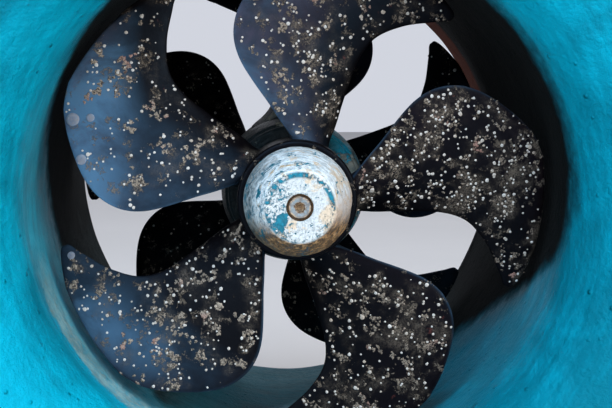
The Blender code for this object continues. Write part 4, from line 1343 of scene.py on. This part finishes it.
class THRUSTER_OT_fittings(bpy.types.Operator):
    """Motor bracket, gaskets, shafts, key and the two clamping bolts"""

    bl_idname = "thruster.fittings"
    bl_label = "Bracket and fittings"

    def execute(self, context):
        for node, width, finish in (
            ("motor_bracket", 0.0010, cast_aluminium),
            ("leg_gasket", 0.0003, black_rubber),
            ("bracket_gasket", 0.0003, black_rubber),
            ("propeller_shaft", 0.0005, stainless),
            ("drive_shaft", 0.0005, stainless),
            ("drive_key", 0.0003, stainless),
        ):
            soften(node, width, finish)
        self.bolt("clamping_bolt_1")
        self.bolt("clamping_bolt_2")
        return {"FINISHED"}

    @staticmethod
    def bolt(node):
        """Flanged hex bolt: shank, washer face, six-sided head with its corners turned off."""
        low, high = (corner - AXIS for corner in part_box(node))
        x, y = (low.x + high.x) / 2, (low.y + high.y) / 2
        shank, flange, flats, tip, head_height = 0.004, 0.008, 0.0065, 0.0008, 0.0065
        head, top = high.z - head_height, high.z
        rows = [(0, low.z, 0), (shank - tip, low.z, 0), (shank, low.z + tip, 0), (shank, head, 0)]
        rows += [(flange - 0.0002, head, 0), (flange, head + 0.0004, 0), (flange, head + 0.0011, 0)]
        rows += [(flats + 0.0001, head + 0.0013, 0), (flats, head + 0.0014, 1), (flats, top - 0.0008, 1)]
        rows += [(flats + 0.0001, top - 0.0002, 0), (flats - 0.0005, top, 0), (0, top, 0)]
        points, faces = stud(rows)
        shell = [(points + (x, y, 0), faces)]
        piece(f"{node}_dressed", shell, stainless, "tunnel", "stainless_steel", [node])


# Stage


class THRUSTER_OT_stage(bpy.types.Operator):
    """Pale floor, soft lights and the camera"""

    bl_idname = "thruster.stage"
    bl_label = "Stage"

    def execute(self, context):
        studio = chosen("studio")
        half = studio.floor_half
        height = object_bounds()[0].z - 0.0005
        corners = [(-half, -half, height), (half, -half, height), (half, half, height), (-half, half, height)]
        mesh = bpy.data.meshes.new("studio_floor")
        mesh.from_pydata(corners, [], [(0, 1, 2, 3)])
        floor = bpy.data.objects.new("studio_floor", mesh)
        context.collection.objects.link(floor)
        coat(floor, studio_floor)
        floor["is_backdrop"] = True
        behind = (0.0, 1.3, height)
        for name, place, target, side, power, colour in (
            ("key_light", (1.5, -1.5, 0.7), AXIS, 1.6, studio.key_power, (1.0, 0.98, 0.95)),
            ("fill_light", (-1.5, -1.5, 0.2), AXIS, 1.4, studio.fill_power, (0.95, 0.98, 1.0)),
            ("cool_light", (-0.4, -1.4, 1.4), AXIS, 1.6, studio.cool_power, (0.62, 0.80, 1.0)),
            ("back_light", (0.4, 2.4, 1.8), behind, 2.4, studio.back_power, (0.95, 0.96, 1.0)),
        ):
            self.light(name, place, target, side, power, colour)
        self.sky(studio)
        self.camera(studio)
        return {"FINISHED"}

    @staticmethod
    def light(name, place, target, side, power, colour):
        """Square soft light aimed at a target."""
        data = bpy.data.lights.new(name, "AREA")
        data.size = side
        data.energy = power
        data.color = colour
        obj = bpy.data.objects.new(name, data)
        obj.location = place
        obj.rotation_euler = (Vector(target) - Vector(place)).to_track_quat("-Z", "Y").to_euler()
        bpy.context.collection.objects.link(obj)

    @staticmethod
    def sky(studio):
        """Soft sky that is dim and bluish in front and pale behind."""
        world = bpy.data.worlds.new("studio_sky")
        world.use_nodes = True
        tree = world.node_tree
        place = wire(tree, "ShaderNodeTexCoord", output="Generated")
        behind = wire(tree, "ShaderNodeSeparateXYZ", (place,), 1).ramp(-0.2, 0.5)
        front = dimmed((0.62, 0.78, 1.0), studio.front_sky)
        back = dimmed((0.80, 0.83, 0.92), studio.back_sky)
        plug(tree, tree.nodes["Background"].inputs["Color"], blend(tree, behind, front, back))
        bpy.context.scene.world = world
        bpy.context.scene.view_settings.view_transform = "Standard"

    @staticmethod
    def camera(studio):
        """Camera that looks into the front mouth, a little from the upper left."""
        data = bpy.data.cameras.new("photo_camera")
        data.lens = studio.focal_length
        data.sensor_width = 36.0
        obj = bpy.data.objects.new("photo_camera", data)
        obj.location = (-studio.camera_left, -studio.camera_ahead, AXIS.z + studio.camera_up)
        obj.rotation_euler = (math.pi / 2 - studio.tilt, 0.0, -studio.yaw)
        bpy.context.collection.objects.link(obj)
        bpy.context.scene.camera = obj


OPERATORS = (
    THRUSTER_OT_tunnel,
    THRUSTER_OT_mouths,
    THRUSTER_OT_propellers,
    THRUSTER_OT_growth,
    THRUSTER_OT_noses,
    THRUSTER_OT_leg,
    THRUSTER_OT_fittings,
    THRUSTER_OT_stage,
)


class THRUSTER_PT_panel(bpy.types.Panel):
    """Lists the thruster's pieces and their sizes"""

    bl_idname = "THRUSTER_PT_panel"
    bl_label = "Tunnel thruster"
    bl_space_type = "VIEW_3D"
    bl_region_type = "UI"
    bl_category = "Thruster"

    def draw(self, context):
        for operator in OPERATORS:
            self.layout.operator(operator.bl_idname)
        for name, group in GROUPS.items():
            box = self.layout.box()
            box.label(text=name.capitalize())
            for value in group.__annotations__:
                box.prop(chosen(name), value)


def register():
    for name, group in GROUPS.items():
        bpy.utils.register_class(group)
        setattr(bpy.types.Scene, f"thruster_{name}", bpy.props.PointerProperty(type=group))
    for made in (*OPERATORS, THRUSTER_PT_panel):
        bpy.utils.register_class(made)


def unregister():
    for made in (THRUSTER_PT_panel, *reversed(OPERATORS)):
        bpy.utils.unregister_class(made)
    for name, group in GROUPS.items():
        delattr(bpy.types.Scene, f"thruster_{name}")
        bpy.utils.unregister_class(group)


def main():
    register()
    for operator in OPERATORS:
        family, action = operator.bl_idname.split(".")
        getattr(getattr(bpy.ops, family), action)()


if __name__ == "__main__":
    main()
